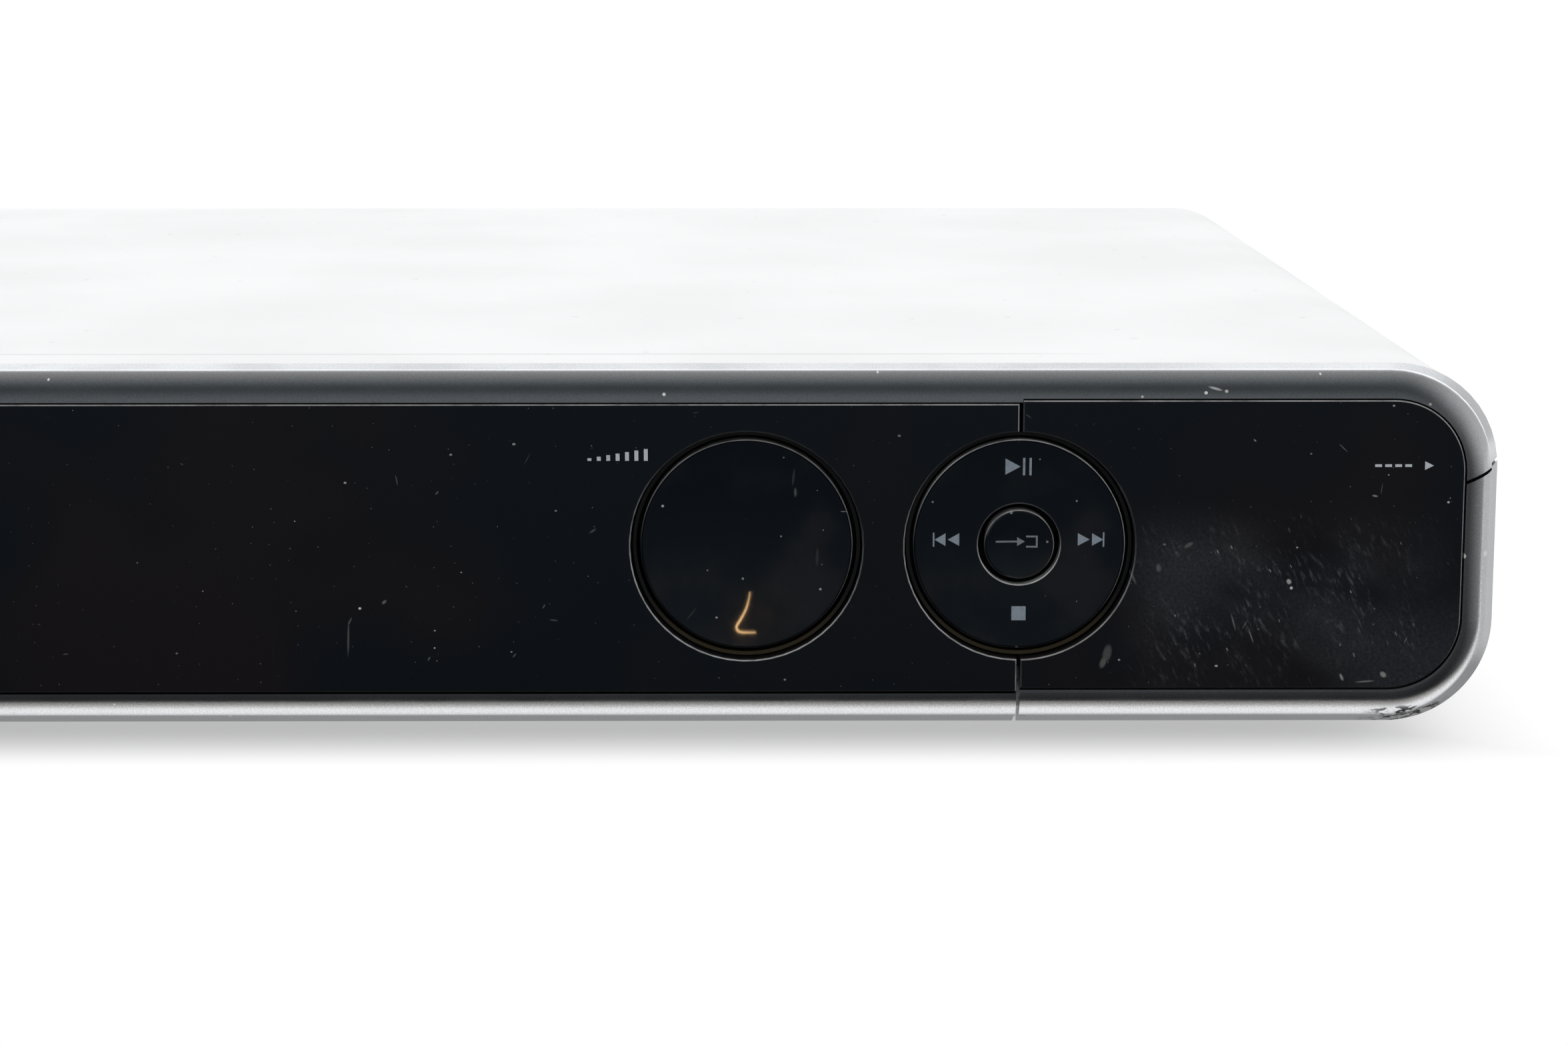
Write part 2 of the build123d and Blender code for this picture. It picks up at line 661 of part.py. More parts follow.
jack_sockets = Part()
for x in JACKS:
    jack = rod_y(x, WELL_FRONT - 2.4, WELL_FRONT + 2.0, JACK_Z, 4.0)
    jack += block(x - 4.5, x + 4.5, WELL_FRONT + 0.3, WELL_FRONT + 12.0, JACK_Z - 5.0, JACK_Z + 5.0)
    jack_sockets += jack - rod_y(x, WELL_FRONT - 3.4, WELL_FRONT + 11.0, JACK_Z, JACK_R)
export(jack_sockets, "jack_sockets")

catch = block(185.0, 197.0, WELL_FRONT + 0.4, WELL_FRONT + 9.0, 50.4, 57.0)
catch -= block(187.4, 194.6, WELL_FRONT - 1.0, WELL_FRONT + 4.0, 51.6, 55.2)
export(catch, "door_catch")

encoder = block(KNOB_X - 6.5, KNOB_X + 6.5, WELL_BACK + 0.2, BOARD_FRONT, CONTROL_Z - 6.5, CONTROL_Z + 6.5)
encoder -= rod_y(KNOB_X, WELL_BACK - 1, BOARD_FRONT - 1.5, CONTROL_Z, 3.08)
export(encoder, "volume_encoder")

control_board = block(-15.0, 158.0, BOARD_FRONT, BOARD_FRONT + BOARD_T, 18.0, 57.0)
export(control_board, "control_board")

small_boards = block(-209.0, -195.5, BOARD_FRONT, BOARD_FRONT + BOARD_T, 30.0, 53.0)
small_boards += block(-38.0, -18.0, BOARD_FRONT, BOARD_FRONT + BOARD_T, 30.0, 53.0)
small_boards += block(164.0, 205.0, WELL_FRONT + 12.0, WELL_FRONT + 12.0 + BOARD_T, 18.0, 48.0)
export(small_boards, "small_boards")


def tact_switch(x, z):
    body = block(x - 3.0, x + 3.0, SWITCH_TOP + 0.7, BOARD_FRONT, z - 3.0, z + 3.0)
    return body + rod_y(x, SWITCH_TOP, SWITCH_TOP + 0.9, z, 1.7)


tact_switches = tact_switch(RING_X, CONTROL_Z)
tact_switches += tact_switch(POWER_X, LEFT_BUTTON_Z)
tact_switches += tact_switch(EJECT_X, LEFT_BUTTON_Z)
for side_x, side_z in ((1, 0), (-1, 0), (0, 1), (0, -1)):
    tact_switches += tact_switch(RING_X + side_x * PUSHER_R, CONTROL_Z + side_z * PUSHER_R)
export(tact_switches, "tact_switches")

display_module = block(-8.0, 68.0, PLATE_BACK + 0.2, BOARD_FRONT - 6.0, 24.0, 48.0)
export(display_module, "display_module")


# ======== Disc tray ======================================================================

RACK_LINE = GEAR_X - GEAR_R


def make_disc_tray():
    x0 = LOADER_X - TRAY_HALF_W
    x1 = LOADER_X + TRAY_HALF_W
    tray = block(x0, x1, TRAY_FRONT, TRAY_BACK, TRAY_DECK, TRAY_TOP)
    for edge in (x0, x1 - 3.0):
        tray += block(edge, edge + 3.0, TRAY_FRONT, TRAY_BACK, TRAY_BOTTOM, TRAY_DECK)
    tray += block(x0, x1, TRAY_FRONT, TRAY_FRONT + 3.0, TRAY_BOTTOM, TRAY_DECK)
    tray -= rod_z(LOADER_X, SPINDLE_Y, TRAY_TOP - 2.6, TRAY_TOP + 1, DISC_WELL_R)
    tray -= rod_z(LOADER_X, SPINDLE_Y, TRAY_TOP - 3.3, TRAY_TOP, SMALL_DISC_WELL_R)
    tray -= rod_z(LOADER_X, SPINDLE_Y, TRAY_BOTTOM, TRAY_TOP, 17.0)
    tray -= block(LOADER_X - 17.0, LOADER_X + 17.0, SPINDLE_Y, -12.0, TRAY_BOTTOM, TRAY_TOP + 1)
    for side in (-1, 1):
        tray -= rod_z(LOADER_X + side * 60.0, SPINDLE_Y, TRAY_DECK - 1, TRAY_TOP + 1, 7.0)
    return tray + tray_rack()


def tray_rack():
    """The rack under the tray's left side, in mesh with the tray gear on a tooth gap."""
    pitch = pi * MODULE
    root = RACK_LINE - 1.1 * MODULE
    tip = RACK_LINE + 0.75 * MODULE
    y0 = TRAY_FRONT + 4.0
    y1 = 18.0
    rack = block(root - 3.2, root, y0, y1, RACK_BOTTOM, TRAY_DECK + 0.2)
    first = int((y0 - GEAR_Y) / pitch) + 1
    last = int((y1 - GEAR_Y) / pitch)
    teeth = Sketch()
    for i in range(first, last + 1):
        y = GEAR_Y + i * pitch
        tooth = Polyline(
            (root - 0.3, y - 0.9 * MODULE),
            (tip, y - 0.33 * MODULE),
            (tip, y + 0.33 * MODULE),
            (root - 0.3, y + 0.9 * MODULE),
            close=True,
        )
        teeth += make_face(tooth)
    return rack + Pos(0, 0, RACK_BOTTOM) * extrude(teeth, amount=TRAY_BOTTOM - RACK_BOTTOM - 0.5)


export(make_disc_tray(), "disc_tray")
export(bevel_front(tray_gate(0.0, FRONT_Y, TRAY_FRONT)), "tray_front")


# ======== Loader frame and tray drive ====================================================

def make_loader_frame():
    x0 = LOADER_X - LOADER_HALF_W
    x1 = LOADER_X + LOADER_HALF_W
    frame = block(x0, x1, LOADER_FRONT, CAM_Y + 2.0, LOADER_BOTTOM, LOADER_FLOOR)
    frame += block(x0, x1, 8.0, LOADER_BACK, LOADER_BOTTOM, LOADER_FLOOR)
    frame += block(x0, x1, LOADER_FRONT, LOADER_FRONT + 2.0, LOADER_BOTTOM, 35.0)
    frame += block(x0, x1, LOADER_BACK - 3.0, LOADER_BACK, LOADER_BOTTOM, 38.0)
    for side in (-1, 1):
        wall = LOADER_X + side * (LOADER_HALF_W - LOADER_WALL / 2)
        frame += block(
            wall - LOADER_WALL / 2,
            wall + LOADER_WALL / 2,
            LOADER_FRONT,
            LOADER_BACK,
            LOADER_BOTTOM,
            LOADER_TOP,
        )
        ledge = LOADER_X + side * (LOADER_HALF_W - LOADER_WALL - 1.9)
        frame += block(ledge - 2.1, ledge + 2.1, LOADER_FRONT + 2.0, LOADER_BACK, 37.9, 39.9)
        for y in (-138.0, -108.0, -40.0, 20.0):
            frame += block(ledge - 2.1, ledge + 2.1, y - 4.0, y + 4.0, TRAY_TOP + 0.5, TRAY_TOP + 2.5)
        ear = LOADER_X + side * 45.5
        lug = block(ear - 1.5, ear + 1.5, TRAVERSE_Y - 4.5, 10.0, TRAVERSE_Z - 4.5, TRAVERSE_Z + 4.5)
        lug += block(ear - 1.5, ear + 1.5, 6.0, 11.0, LOADER_BOTTOM, TRAVERSE_Z + 4.5)
        frame += lug - rod_x(ear - 3, ear + 3, TRAVERSE_Y, TRAVERSE_Z, 2.1)
    frame += rod_z(GEAR_X, GEAR_Y, LOADER_FLOOR - 0.2, 39.0, 2.0)
    frame += rod_z(PINION_X, GEAR_Y, LOADER_FLOOR - 0.2, 36.0, 2.0)
    return frame


export(make_loader_frame(), "loader_frame")

drive_gear = gear(GEAR_TEETH, 31.3, 39.3, 180 / GEAR_TEETH)
drive_gear += rod_z(0, 0, 20.0, 31.3, 4.0)
drive_gear -= rod_z(0, 0, 10.0, 45.0, 2.1)
export(Pos(GEAR_X, GEAR_Y, 0) * drive_gear, "tray_drive_gear")


def pulley(r, z0, z1):
    """A flat pulley with a square groove for the belt at mid height."""
    groove = rod_z(0, 0, BELT_Z - 0.8, BELT_Z + 0.8, r + 1) - rod_z(0, 0, BELT_Z - 2, BELT_Z + 2, r - BELT_DEPTH)
    return rod_z(0, 0, z0, z1, r) - groove


pulley_gear = pulley(PULLEY_R, 27.6, 31.0) + gear(PINION_TEETH, 30.8, 35.6)
pulley_gear += rod_z(0, 0, 16.0, 27.8, 3.6)
pulley_gear -= rod_z(0, 0, 10.0, 45.0, 2.1)
export(Pos(PINION_X, GEAR_Y, 0) * pulley_gear, "pulley_gear")

motor_pulley = pulley(MOTOR_PULLEY_R, 27.6, 31.0) + rod_z(0, 0, 22.0, 27.8, 1.0)
export(Pos(MOTOR_X, GEAR_Y, 0) * motor_pulley, "motor_pulley")


def make_loading_belt():
    """A belt with a square section, clear of the two grooves by a hair."""
    small_r = MOTOR_PULLEY_R - BELT_DEPTH + 0.1
    large_r = PULLEY_R - BELT_DEPTH + 0.1
    gap = MOTOR_X - PINION_X
    turn = degrees(atan2(large_r - small_r, gap))

    def loop(extra):
        big = Circle(large_r + extra)
        small = Pos(gap, 0) * Circle(small_r + extra)
        c = sin(radians(turn))
        s = cos(radians(turn))
        large = large_r + extra
        little = small_r + extra
        corners = Polyline(
            (large * c, large * s),
            (gap + little * c, little * s),
            (gap + little * c, -little * s),
            (large * c, -large * s),
            close=True,
        )
        return big + small + make_face(corners)

    ring = extrude(loop(0.9), amount=1.2) - extrude(loop(0.0), amount=1.2)
    return Pos(PINION_X, GEAR_Y, BELT_Z - 0.6) * ring


export(make_loading_belt(), "loading_belt")

loading_motor = rod_z(MOTOR_X, GEAR_Y, LOADER_FLOOR, 26.4, 12.0)
loading_motor -= rod_z(MOTOR_X, GEAR_Y, 21.0, 27.0, 1.08)
export(loading_motor, "loading_motor")


def make_clamp_bridge():
    x0 = LOADER_X - LOADER_HALF_W
    x1 = LOADER_X + LOADER_HALF_W
    bridge = block(x0, x1, SPINDLE_Y - 16.0, SPINDLE_Y + 16.0, LOADER_TOP, LOADER_TOP + 1.6)
    bridge += rod_z(LOADER_X, SPINDLE_Y, LOADER_TOP, LOADER_TOP + 1.6, 20.0)
    for side in (-1, 1):
        rib = SPINDLE_Y + side * 15.0
        bridge += block(x0, x1, rib - 1.0, rib + 1.0, LOADER_TOP, LOADER_TOP + 4.6)
    return bridge - rod_z(LOADER_X, SPINDLE_Y, LOADER_TOP - 1, LOADER_TOP + 6, 10.2)


export(make_clamp_bridge(), "clamp_bridge")

clamp_puck = rod_z(LOADER_X, SPINDLE_Y, TRAY_TOP + 0.5, LOADER_TOP + 2.0, 9.6)
clamp_puck += rod_z(LOADER_X, SPINDLE_Y, LOADER_TOP + 1.9, LOADER_TOP + 3.4, 13.0)
clamp_puck -= rod_z(LOADER_X, SPINDLE_Y, TRAY_TOP - 1, TRAY_TOP + 3.2, 8.2)
export(clamp_puck, "clamp_puck")


# ======== Traverse: spindle, pickup and their drives =====================================
# Its pieces are drawn level, as they play, and then tipped down to their rest.

CAM_PINS = (LOADER_X - CAM_PIN_OFFSET, LOADER_X + CAM_PIN_OFFSET)
PLATE_BOTTOM = TRAVERSE_Z - 1.5
PLATE_TOP = TRAVERSE_Z + 1.5


def make_traverse_frame():
    frame = block(LOADER_X - 43.0, LOADER_X + 43.0, -100.0, 1.0, PLATE_BOTTOM, PLATE_TOP)
    frame -= block(LOADER_X - 14.0, LOADER_X + 14.0, -58.0, -8.0, PLATE_BOTTOM - 1, PLATE_TOP + 1)
    frame -= rod_z(LOADER_X, SPINDLE_Y, PLATE_BOTTOM - 1, PLATE_TOP + 1, 2.0)
    frame += rod_x(LOADER_X - 47.0, LOADER_X - 42.0, TRAVERSE_Y, TRAVERSE_Z, 2.0)
    frame += rod_x(LOADER_X + 42.0, LOADER_X + 47.0, TRAVERSE_Y, TRAVERSE_Z, 2.0)
    for x in (LOADER_X - ROD_X, LOADER_X + ROD_X, LOADER_X + SCREW_X):
        for y in (-65.5, -1.5):
            if x == LOADER_X + SCREW_X and y < -60:
                continue
            frame += block(x - 2.5, x + 2.5, y - 1.5, y + 1.5, PLATE_TOP - 0.2, ROD_Z + 2.5)
        r = 2.0 if x == LOADER_X + SCREW_X else ROD_R
        frame -= rod_y(x, -70.0, 2.0, ROD_Z, r)
    for x in CAM_PINS:
        frame += rod_y(x, -106.5, -99.8, TRAVERSE_Z, CAM_PIN_R)
    return frame


export(lowered(make_traverse_frame()), "traverse_frame")

guide_rods = Part()
for side in (-1, 1):
    guide_rods += rod_y(LOADER_X + side * ROD_X, -67.0, 0.0, ROD_Z, ROD_R)
export(lowered(guide_rods), "guide_rods")

lead_screw = rod_y(LOADER_X + SCREW_X, -63.0, 0.0, ROD_Z, SCREW_R)
lead_screw += rod_y(LOADER_X + SCREW_X, -68.0, -62.8, ROD_Z, 0.8)
export(lowered(lead_screw), "lead_screw")

sled_motor = block(
    LOADER_X + SCREW_X - 6.0,
    LOADER_X + SCREW_X + 6.0,
    -80.0,
    -64.0,
    PLATE_TOP,
    ROD_Z + 5.0,
)
sled_motor -= rod_y(LOADER_X + SCREW_X, -69.0, -63.0, ROD_Z, 0.88)
export(lowered(sled_motor), "sled_motor")

spindle_motor = rod_z(LOADER_X, SPINDLE_Y, 22.5, PLATE_BOTTOM, 12.0)
spindle_motor -= rod_z(LOADER_X, SPINDLE_Y, 23.5, PLATE_BOTTOM + 1, 1.08)
export(lowered(spindle_motor), "spindle_motor")

turntable = rod_z(LOADER_X, SPINDLE_Y, 43.3, 45.5, 15.0)
turntable += rod_z(LOADER_X, SPINDLE_Y, 34.0, 43.4, 4.0)
turntable += rod_z(LOADER_X, SPINDLE_Y, 24.0, 34.2, 1.0)
hub = rod_z(LOADER_X, SPINDLE_Y, 45.4, 47.3, 7.3)
hub = chamfer(hub.faces().sort_by(Axis.Z)[-1].edges(), 1.0)
turntable += hub
export(lowered(turntable), "turntable")


def make_pickup_sled():
    y0 = LENS_Y - SLED_LENGTH / 2
    y1 = LENS_Y + SLED_LENGTH / 2
    x0 = LOADER_X - ROD_X - 5.0
    x1 = LOADER_X + ROD_X + 4.0
    sled = block(x0, x1, y0, y1, PLATE_TOP + 0.4, ROD_Z + 2.6)
    sled += block(x1 - 0.2, LOADER_X + SCREW_X + 3.5, LENS_Y - 4.0, LENS_Y + 4.0, PLATE_TOP + 0.4, ROD_Z + 2.6)
    for side in (-1, 1):
        sled -= rod_y(LOADER_X + side * ROD_X, y0 - 1, y1 + 1, ROD_Z, ROD_R + 0.08)
    sled -= rod_y(LOADER_X + SCREW_X, y0 - 1, y1 + 1, ROD_Z, SCREW_R + 0.1)
    cup = block(LOADER_X - 8.0, LOADER_X + 8.0, LENS_Y - 8.0, LENS_Y + 8.0, ROD_Z + 2.4, 40.4)
    sled += cup - rod_z(LOADER_X, LENS_Y, ROD_Z + 3.0, 42.0, 5.0)
    return sled


export(lowered(make_pickup_sled()), "pickup_sled")

lens = rod_z(LOADER_X, LENS_Y, 38.8, 41.6, 4.6)
lens += rod_z(LOADER_X, LENS_Y, 41.5, 42.4, 3.0)
export(lowered(lens), "objective_lens")


def make_lift_cam():
    """A sliding plate with two slanting slots, one for each pin on the traverse's nose."""
    reach = (TRAVERSE_Y - CAM_Y)
    rise = reach * tan(radians(TRAVERSE_DROP))
    low = TRAVERSE_Z - rise
    cam = block(-175.0, -85.0, CAM_Y - 1.0, CAM_Y + 1.0, LOADER_FLOOR + 0.5, 35.0)
    length = hypot(CAM_TRAVEL, rise)
    lean = degrees(atan2(rise, -CAM_TRAVEL))
    for x in CAM_PINS:
        plane = front_plane(x - CAM_TRAVEL / 2, CAM_Y + 2.0, low + rise / 2)
        slot = SlotCenterToCenter(length, 2 * (CAM_PIN_R + 0.45), rotation=lean)
        cam -= extrude(plane * slot, amount=4.0)
    return cam


export(make_lift_cam(), "lift_cam")


# ======== Back connectors and electronics ================================================

power_inlet = connector_block(INLET_BODY, REAR_PANEL_Y - 16.0, CONNECTOR_FRONT + 1.5)
inlet_x = (INLET_BODY[0] + INLET_BODY[1]) / 2
inlet_z = (INLET_BODY[2] + INLET_BODY[3]) / 2
inlet_well = front_plane(inlet_x, CONNECTOR_FRONT + 3.0, inlet_z) * SlotOverall(15.6, 8.0)
power_inlet -= extrude(inlet_well, amount=15.0)
for side in (-1, 1):
    power_inlet += rod_y(inlet_x + side * 4.3, REAR_PANEL_Y - 12.0, CONNECTOR_FRONT - 1.0, inlet_z, 1.2)
export(power_inlet, "power_inlet")


def make_speaker_terminals():
    x0, x1 = SPEAKER_BODY[:2]
    body = connector_block(SPEAKER_BODY, REAR_PANEL_Y - 14.0, CONNECTOR_FRONT + 3.0)
    step = (x1 - x0) / SPEAKER_PAIRS
    for i in range(SPEAKER_PAIRS):
        for j in (-1, 1):
            x = x0 + (i + 0.5) * step + j * 4.2
            body += block(x - 2.6, x + 2.6, CONNECTOR_FRONT + 2.8, REAR_Y, 34.0, 40.0)
            body -= rod_y(x, CONNECTOR_FRONT - 6.0, REAR_Y + 1, 27.0, 1.9)
    return body


export(make_speaker_terminals(), "speaker_terminals")


def make_av_jacks():
    body = connector_block(AV_BODY, REAR_PANEL_Y - 14.0, CONNECTOR_FRONT + 0.5)
    for column in range(PHONO_COLUMNS):
        for z in PHONO_ROWS:
            x = AV_BODY[0] + 7.0 + column * PHONO_PITCH
            body += rod_y(x, CONNECTOR_FRONT, REAR_Y, z, PHONO_R)
            body -= rod_y(x, CONNECTOR_FRONT - 6.0, REAR_Y + 1, z, 1.6)
    return body


export(make_av_jacks(), "av_jacks")

hdmi_x = (HDMI_BODY[0] + HDMI_BODY[1]) / 2
hdmi_z = (HDMI_BODY[2] + HDMI_BODY[3]) / 2
hdmi_socket = connector_block(HDMI_BODY, REAR_PANEL_Y - 12.0, CONNECTOR_FRONT + 0.5)
hdmi_socket -= connector_block(HDMI_BODY, REAR_PANEL_Y - 9.0, CONNECTOR_FRONT + 2.0, -0.75)
hdmi_socket += block(hdmi_x - 5.5, hdmi_x + 5.5, REAR_PANEL_Y - 9.5, CONNECTOR_FRONT - 1.0, hdmi_z - 0.4, hdmi_z + 0.8)
export(hdmi_socket, "hdmi_socket")

antenna_jack = block(
    ANTENNA_X - 10.0,
    ANTENNA_X + 10.0,
    REAR_PANEL_Y - 22.0,
    REAR_PANEL_Y,
    ANTENNA_Z - 10.0,
    ANTENNA_Z + 10.0,
)
antenna_jack += rod_y(ANTENNA_X, REAR_PANEL_Y - 1.0, REAR_Y, ANTENNA_Z, ANTENNA_R)
antenna_jack -= rod_y(ANTENNA_X, CONNECTOR_FRONT, REAR_Y + 1, ANTENNA_Z, ANTENNA_R - 0.6)
antenna_jack += rod_y(ANTENNA_X, CONNECTOR_FRONT - 1.0, REAR_Y - 1.0, ANTENNA_Z, 0.6)
export(antenna_jack, "tuner_jack")

fan_front = REAR_PANEL_Y - FAN_DEPTH
fan_housing = block(
    FAN_X - FAN_HALF_W,
    FAN_X + FAN_HALF_W,
    fan_front,
    REAR_PANEL_Y - 0.1,
    FAN_Z - FAN_HALF_W,
    FAN_Z + FAN_HALF_W,
)
fan_housing -= rod_y(FAN_X, fan_front - 1, REAR_PANEL_Y + 1, FAN_Z, FAN_HOLE_R)
fan_hub = rod_y(FAN_X, REAR_PANEL_Y - 3.0, REAR_PANEL_Y - 0.1, FAN_Z, 8.0)
for arm_turn in range(4):
    arm = block(6.0, 24.5, REAR_PANEL_Y - 2.5, REAR_PANEL_Y - 0.1, -1.2, 1.2)
    fan_hub += Pos(FAN_X, 0, FAN_Z) * Rot(0, 45 + 90 * arm_turn, 0) * arm
fan_housing += fan_hub
fan_housing += rod_y(FAN_X, fan_front + 4.0, REAR_PANEL_Y - 2.0, FAN_Z, 1.0)
export(fan_housing, "fan_housing")


def make_fan_rotor():
    front = fan_front + 1.0
    back = REAR_PANEL_Y - 3.6
    rotor = rod_y(0, front, back, 0, 9.0)
    rotor -= rod_y(0, front + 2.0, back + 1, 0, 1.08)
    for i in range(7):
        blade = Pos(15.5, (front + back) / 2, 0) * Rot(38, 0, 0) * Box(14.4, 1.2, 12.0)
        rotor += Rot(0, i * 360 / 7, 0) * blade
    return Pos(FAN_X, 0, FAN_Z) * rotor


export(make_fan_rotor(), "fan_rotor")

main_board = block(-31.0, 156.0, 34.0, 128.0, BOARD_Z, BOARD_Z + BOARD_T)
export(main_board, "main_board")

CHIPS = ((10.0, 70.0, 26.0), (60.0, 60.0, 20.0), (90.0, 104.0, 14.0), (32.0, 106.0, 12.0))
board_chips = Part()
for chip_x, chip_y, chip_w in CHIPS:
    chip = Pos(chip_x, chip_y, BOARD_Z + BOARD_T + 1.0) * Box(chip_w, chip_w, 2.0)
    board_chips += chip
export(board_chips, "board_chips")


def make_heat_sink():
    z0 = BOARD_Z + BOARD_T
    sink = block(110.0, 146.0, 44.0, 118.0, z0, z0 + 5.0)
    for i in range(9):
        x = 111.0 + i * 4.2
        sink += block(x, x + 1.4, 44.0, 118.0, z0 + 4.0, 54.0)
    return sink


export(make_heat_sink(), "heat_sink")

power_board = block(-196.0, -64.0, 52.0, 130.0, BOARD_Z, BOARD_Z + BOARD_T)
export(power_board, "power_board")

transformer = block(-166.0, -132.0, 70.0, 104.0, BOARD_Z + BOARD_T, 50.0)
transformer += block(-171.0, -127.0, 78.0, 96.0, BOARD_Z + BOARD_T + 5.0, 45.0)
export(transformer, "transformer")

capacitors = Part()
for cap_x, cap_y, cap_r, cap_h in ((-100, 76, 11, 30), (-76, 76, 9, 26), (-100, 104, 6, 22), (-82, 104, 6, 22)):
    base = BOARD_Z + BOARD_T
    can = rod_z(cap_x, cap_y, base, base + cap_h, cap_r)
    capacitors += fillet(can.faces().sort_by(Axis.Z)[-1].edges(), 1.0)
export(capacitors, "capacitors")


def flat_cable(x, width, y0, y1, z0, z1):
    """A ribbon that drops from one board, runs along the floor and rises to the next."""
    floor = 10.4
    ribbon = block(x, x + width, y0, y0 + 0.4, floor, z0)
    ribbon += block(x, x + width, y0, y1, floor, floor + 0.4)
    ribbon += block(x, x + width, y1 - 0.4, y1, floor, z1)
    return ribbon


back_of_board = BOARD_FRONT + BOARD_T
flat_cables = flat_cable(20.0, 26.0, back_of_board, 33.0, 24.0, BOARD_Z + 4.0)
flat_cables += flat_cable(-42.0, 10.0, back_of_board, 33.0, 34.0, BOARD_Z + 4.0)
export(flat_cables, "flat_cables")
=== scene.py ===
from math import radians

import bmesh
import bpy
from mathutils import Matrix, Vector


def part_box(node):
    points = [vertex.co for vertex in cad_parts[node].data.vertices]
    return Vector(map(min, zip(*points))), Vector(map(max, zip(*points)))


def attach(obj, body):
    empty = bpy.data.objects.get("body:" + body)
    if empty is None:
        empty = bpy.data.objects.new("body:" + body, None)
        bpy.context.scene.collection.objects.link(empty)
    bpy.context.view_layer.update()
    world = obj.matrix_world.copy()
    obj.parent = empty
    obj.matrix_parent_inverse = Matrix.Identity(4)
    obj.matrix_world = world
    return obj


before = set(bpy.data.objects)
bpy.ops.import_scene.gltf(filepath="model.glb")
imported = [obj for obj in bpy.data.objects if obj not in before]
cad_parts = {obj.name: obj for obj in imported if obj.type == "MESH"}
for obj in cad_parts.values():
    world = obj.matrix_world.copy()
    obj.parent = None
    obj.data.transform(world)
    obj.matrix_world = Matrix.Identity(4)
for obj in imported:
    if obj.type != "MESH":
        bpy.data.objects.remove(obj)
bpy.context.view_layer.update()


# ---- Camera -----------------------------------------------------------------------------
# The photograph looks at the right half of the player from just over half a metre in front
# of it and a little above, with the lens level with the gap between the knob and the panel.
MM = 0.001
CAMERA_PLACE = Vector((102.7, -675.0, 131.5)) * MM
CAMERA_DOWN = 10.0
CAMERA_RIGHT = 0.3
CAMERA_LENS = 78.3
FILM_W = 36.0

camera_lens = bpy.data.cameras.new("photo_camera")
camera_lens.lens = CAMERA_LENS
camera_lens.sensor_width = FILM_W
camera_lens.clip_start = 0.01
camera = bpy.data.objects.new("photo_camera", camera_lens)
camera.location = CAMERA_PLACE
camera.rotation_euler = (radians(90.0 - CAMERA_DOWN), 0.0, radians(-CAMERA_RIGHT))
bpy.context.scene.collection.objects.link(camera)
bpy.context.scene.camera = camera
bpy.context.scene.view_settings.view_transform = "Standard"


# ---- Table ------------------------------------------------------------------------------
# A white table top that ends a finger's width in front of the player, because the black
# panel and the lower edge of the frame mirror a dark room there. It keeps the shadow, and
# from below it is clear.
TABLE_FRONT = -0.165
TABLE_BACK = 6.0
TABLE_HALF_W = 4.0
TABLE_WHITE = 0.86
TABLE_LIFT = 0.42
TABLE_SIDE_GLOW = 0.62
TABLE_GLOW = 1.05
SHADOW_FRONT = (-0.125, -0.158)
SHADOW_BACK = (0.17, 0.3)
SHADOW_SIDES = ((0.2, 0.25), (-0.2, -0.25))
GLOW_SIDES = ((0.21, 0.26), (-0.21, -0.26))
MIRROR_NEAR = (-0.17, -0.14)
# Painted reflection: the light that glossy rays see on the table, from its front edge to under the
# player.
TABLE_PAINTED_REFLECTION_STOPS = (
    (0.0, 0.1),
    (0.13, 0.27),
    (0.28, 0.38),
    (0.38, 0.7),
    (0.48, 1.15),
    (0.6, 1.15),
    (0.7, 1.0),
    (0.77, 0.6),
    (0.84, 0.31),
    (1.0, 0.34),
)
TABLE_PAINTED_WARMTH_STOPS = ((0.0, (1.0, 0.955, 0.87)), (0.6, (0.985, 0.99, 1.0)))

table_mesh = bmesh.new()
bmesh.ops.create_grid(table_mesh, x_segments=1, y_segments=1, size=1.0)
for corner in table_mesh.verts:
    corner.co.x *= TABLE_HALF_W
    corner.co.y = TABLE_FRONT if corner.co.y < 0 else TABLE_BACK
table_data = bpy.data.meshes.new("table_top")
table_mesh.to_mesh(table_data)
table_mesh.free()
table = bpy.data.objects.new("table_top", table_data)
bpy.context.scene.collection.objects.link(table)


def feed(finish, socket, source):
    """Sets a node's socket to a number or colour, or joins another node's output to it."""
    if isinstance(source, bpy.types.NodeSocket):
        finish.node_tree.links.new(source, socket)
    else:
        socket.default_value = source


def add_node(finish, kind, feeds=None, **settings):
    """A new node with its settings made and its sockets, by name or number, fed."""
    node = finish.node_tree.nodes.new(kind)
    for setting, value in settings.items():
        setattr(node, setting, value)
    for socket, source in (feeds or {}).items():
        feed(finish, node.inputs[socket], source)
    return node


def mix_finish(name, colour, roughness, metallic=0.0, coat=0.0):
    """A new material with its constant values on the shader's own sockets."""
    finish = bpy.data.materials.new(name)
    finish.use_nodes = True
    surface = finish.node_tree.nodes["Principled BSDF"]
    surface.inputs["Base Color"].default_value = (*colour, 1.0)
    surface.inputs["Roughness"].default_value = roughness
    surface.inputs["Metallic"].default_value = metallic
    surface.inputs["Coat Weight"].default_value = coat
    surface.inputs["Coat Roughness"].default_value = 0.04
    return finish


def feed_surface(finish, name, source):
    feed(finish, finish.node_tree.nodes["Principled BSDF"].inputs[name], source)


def where(finish, shift=(0, 0, 0), turn=(0, 0, 0), stretch=(1, 1, 1)):
    """Places on the object in metres, moved, turned (in degrees) and stretched for a pattern."""
    place = add_node(finish, "ShaderNodeTexCoord").outputs["Object"]
    angles = [radians(angle) for angle in turn]
    feeds = {"Vector": place, "Location": shift, "Rotation": angles, "Scale": stretch}
    return add_node(finish, "ShaderNodeMapping", feeds).outputs["Vector"]


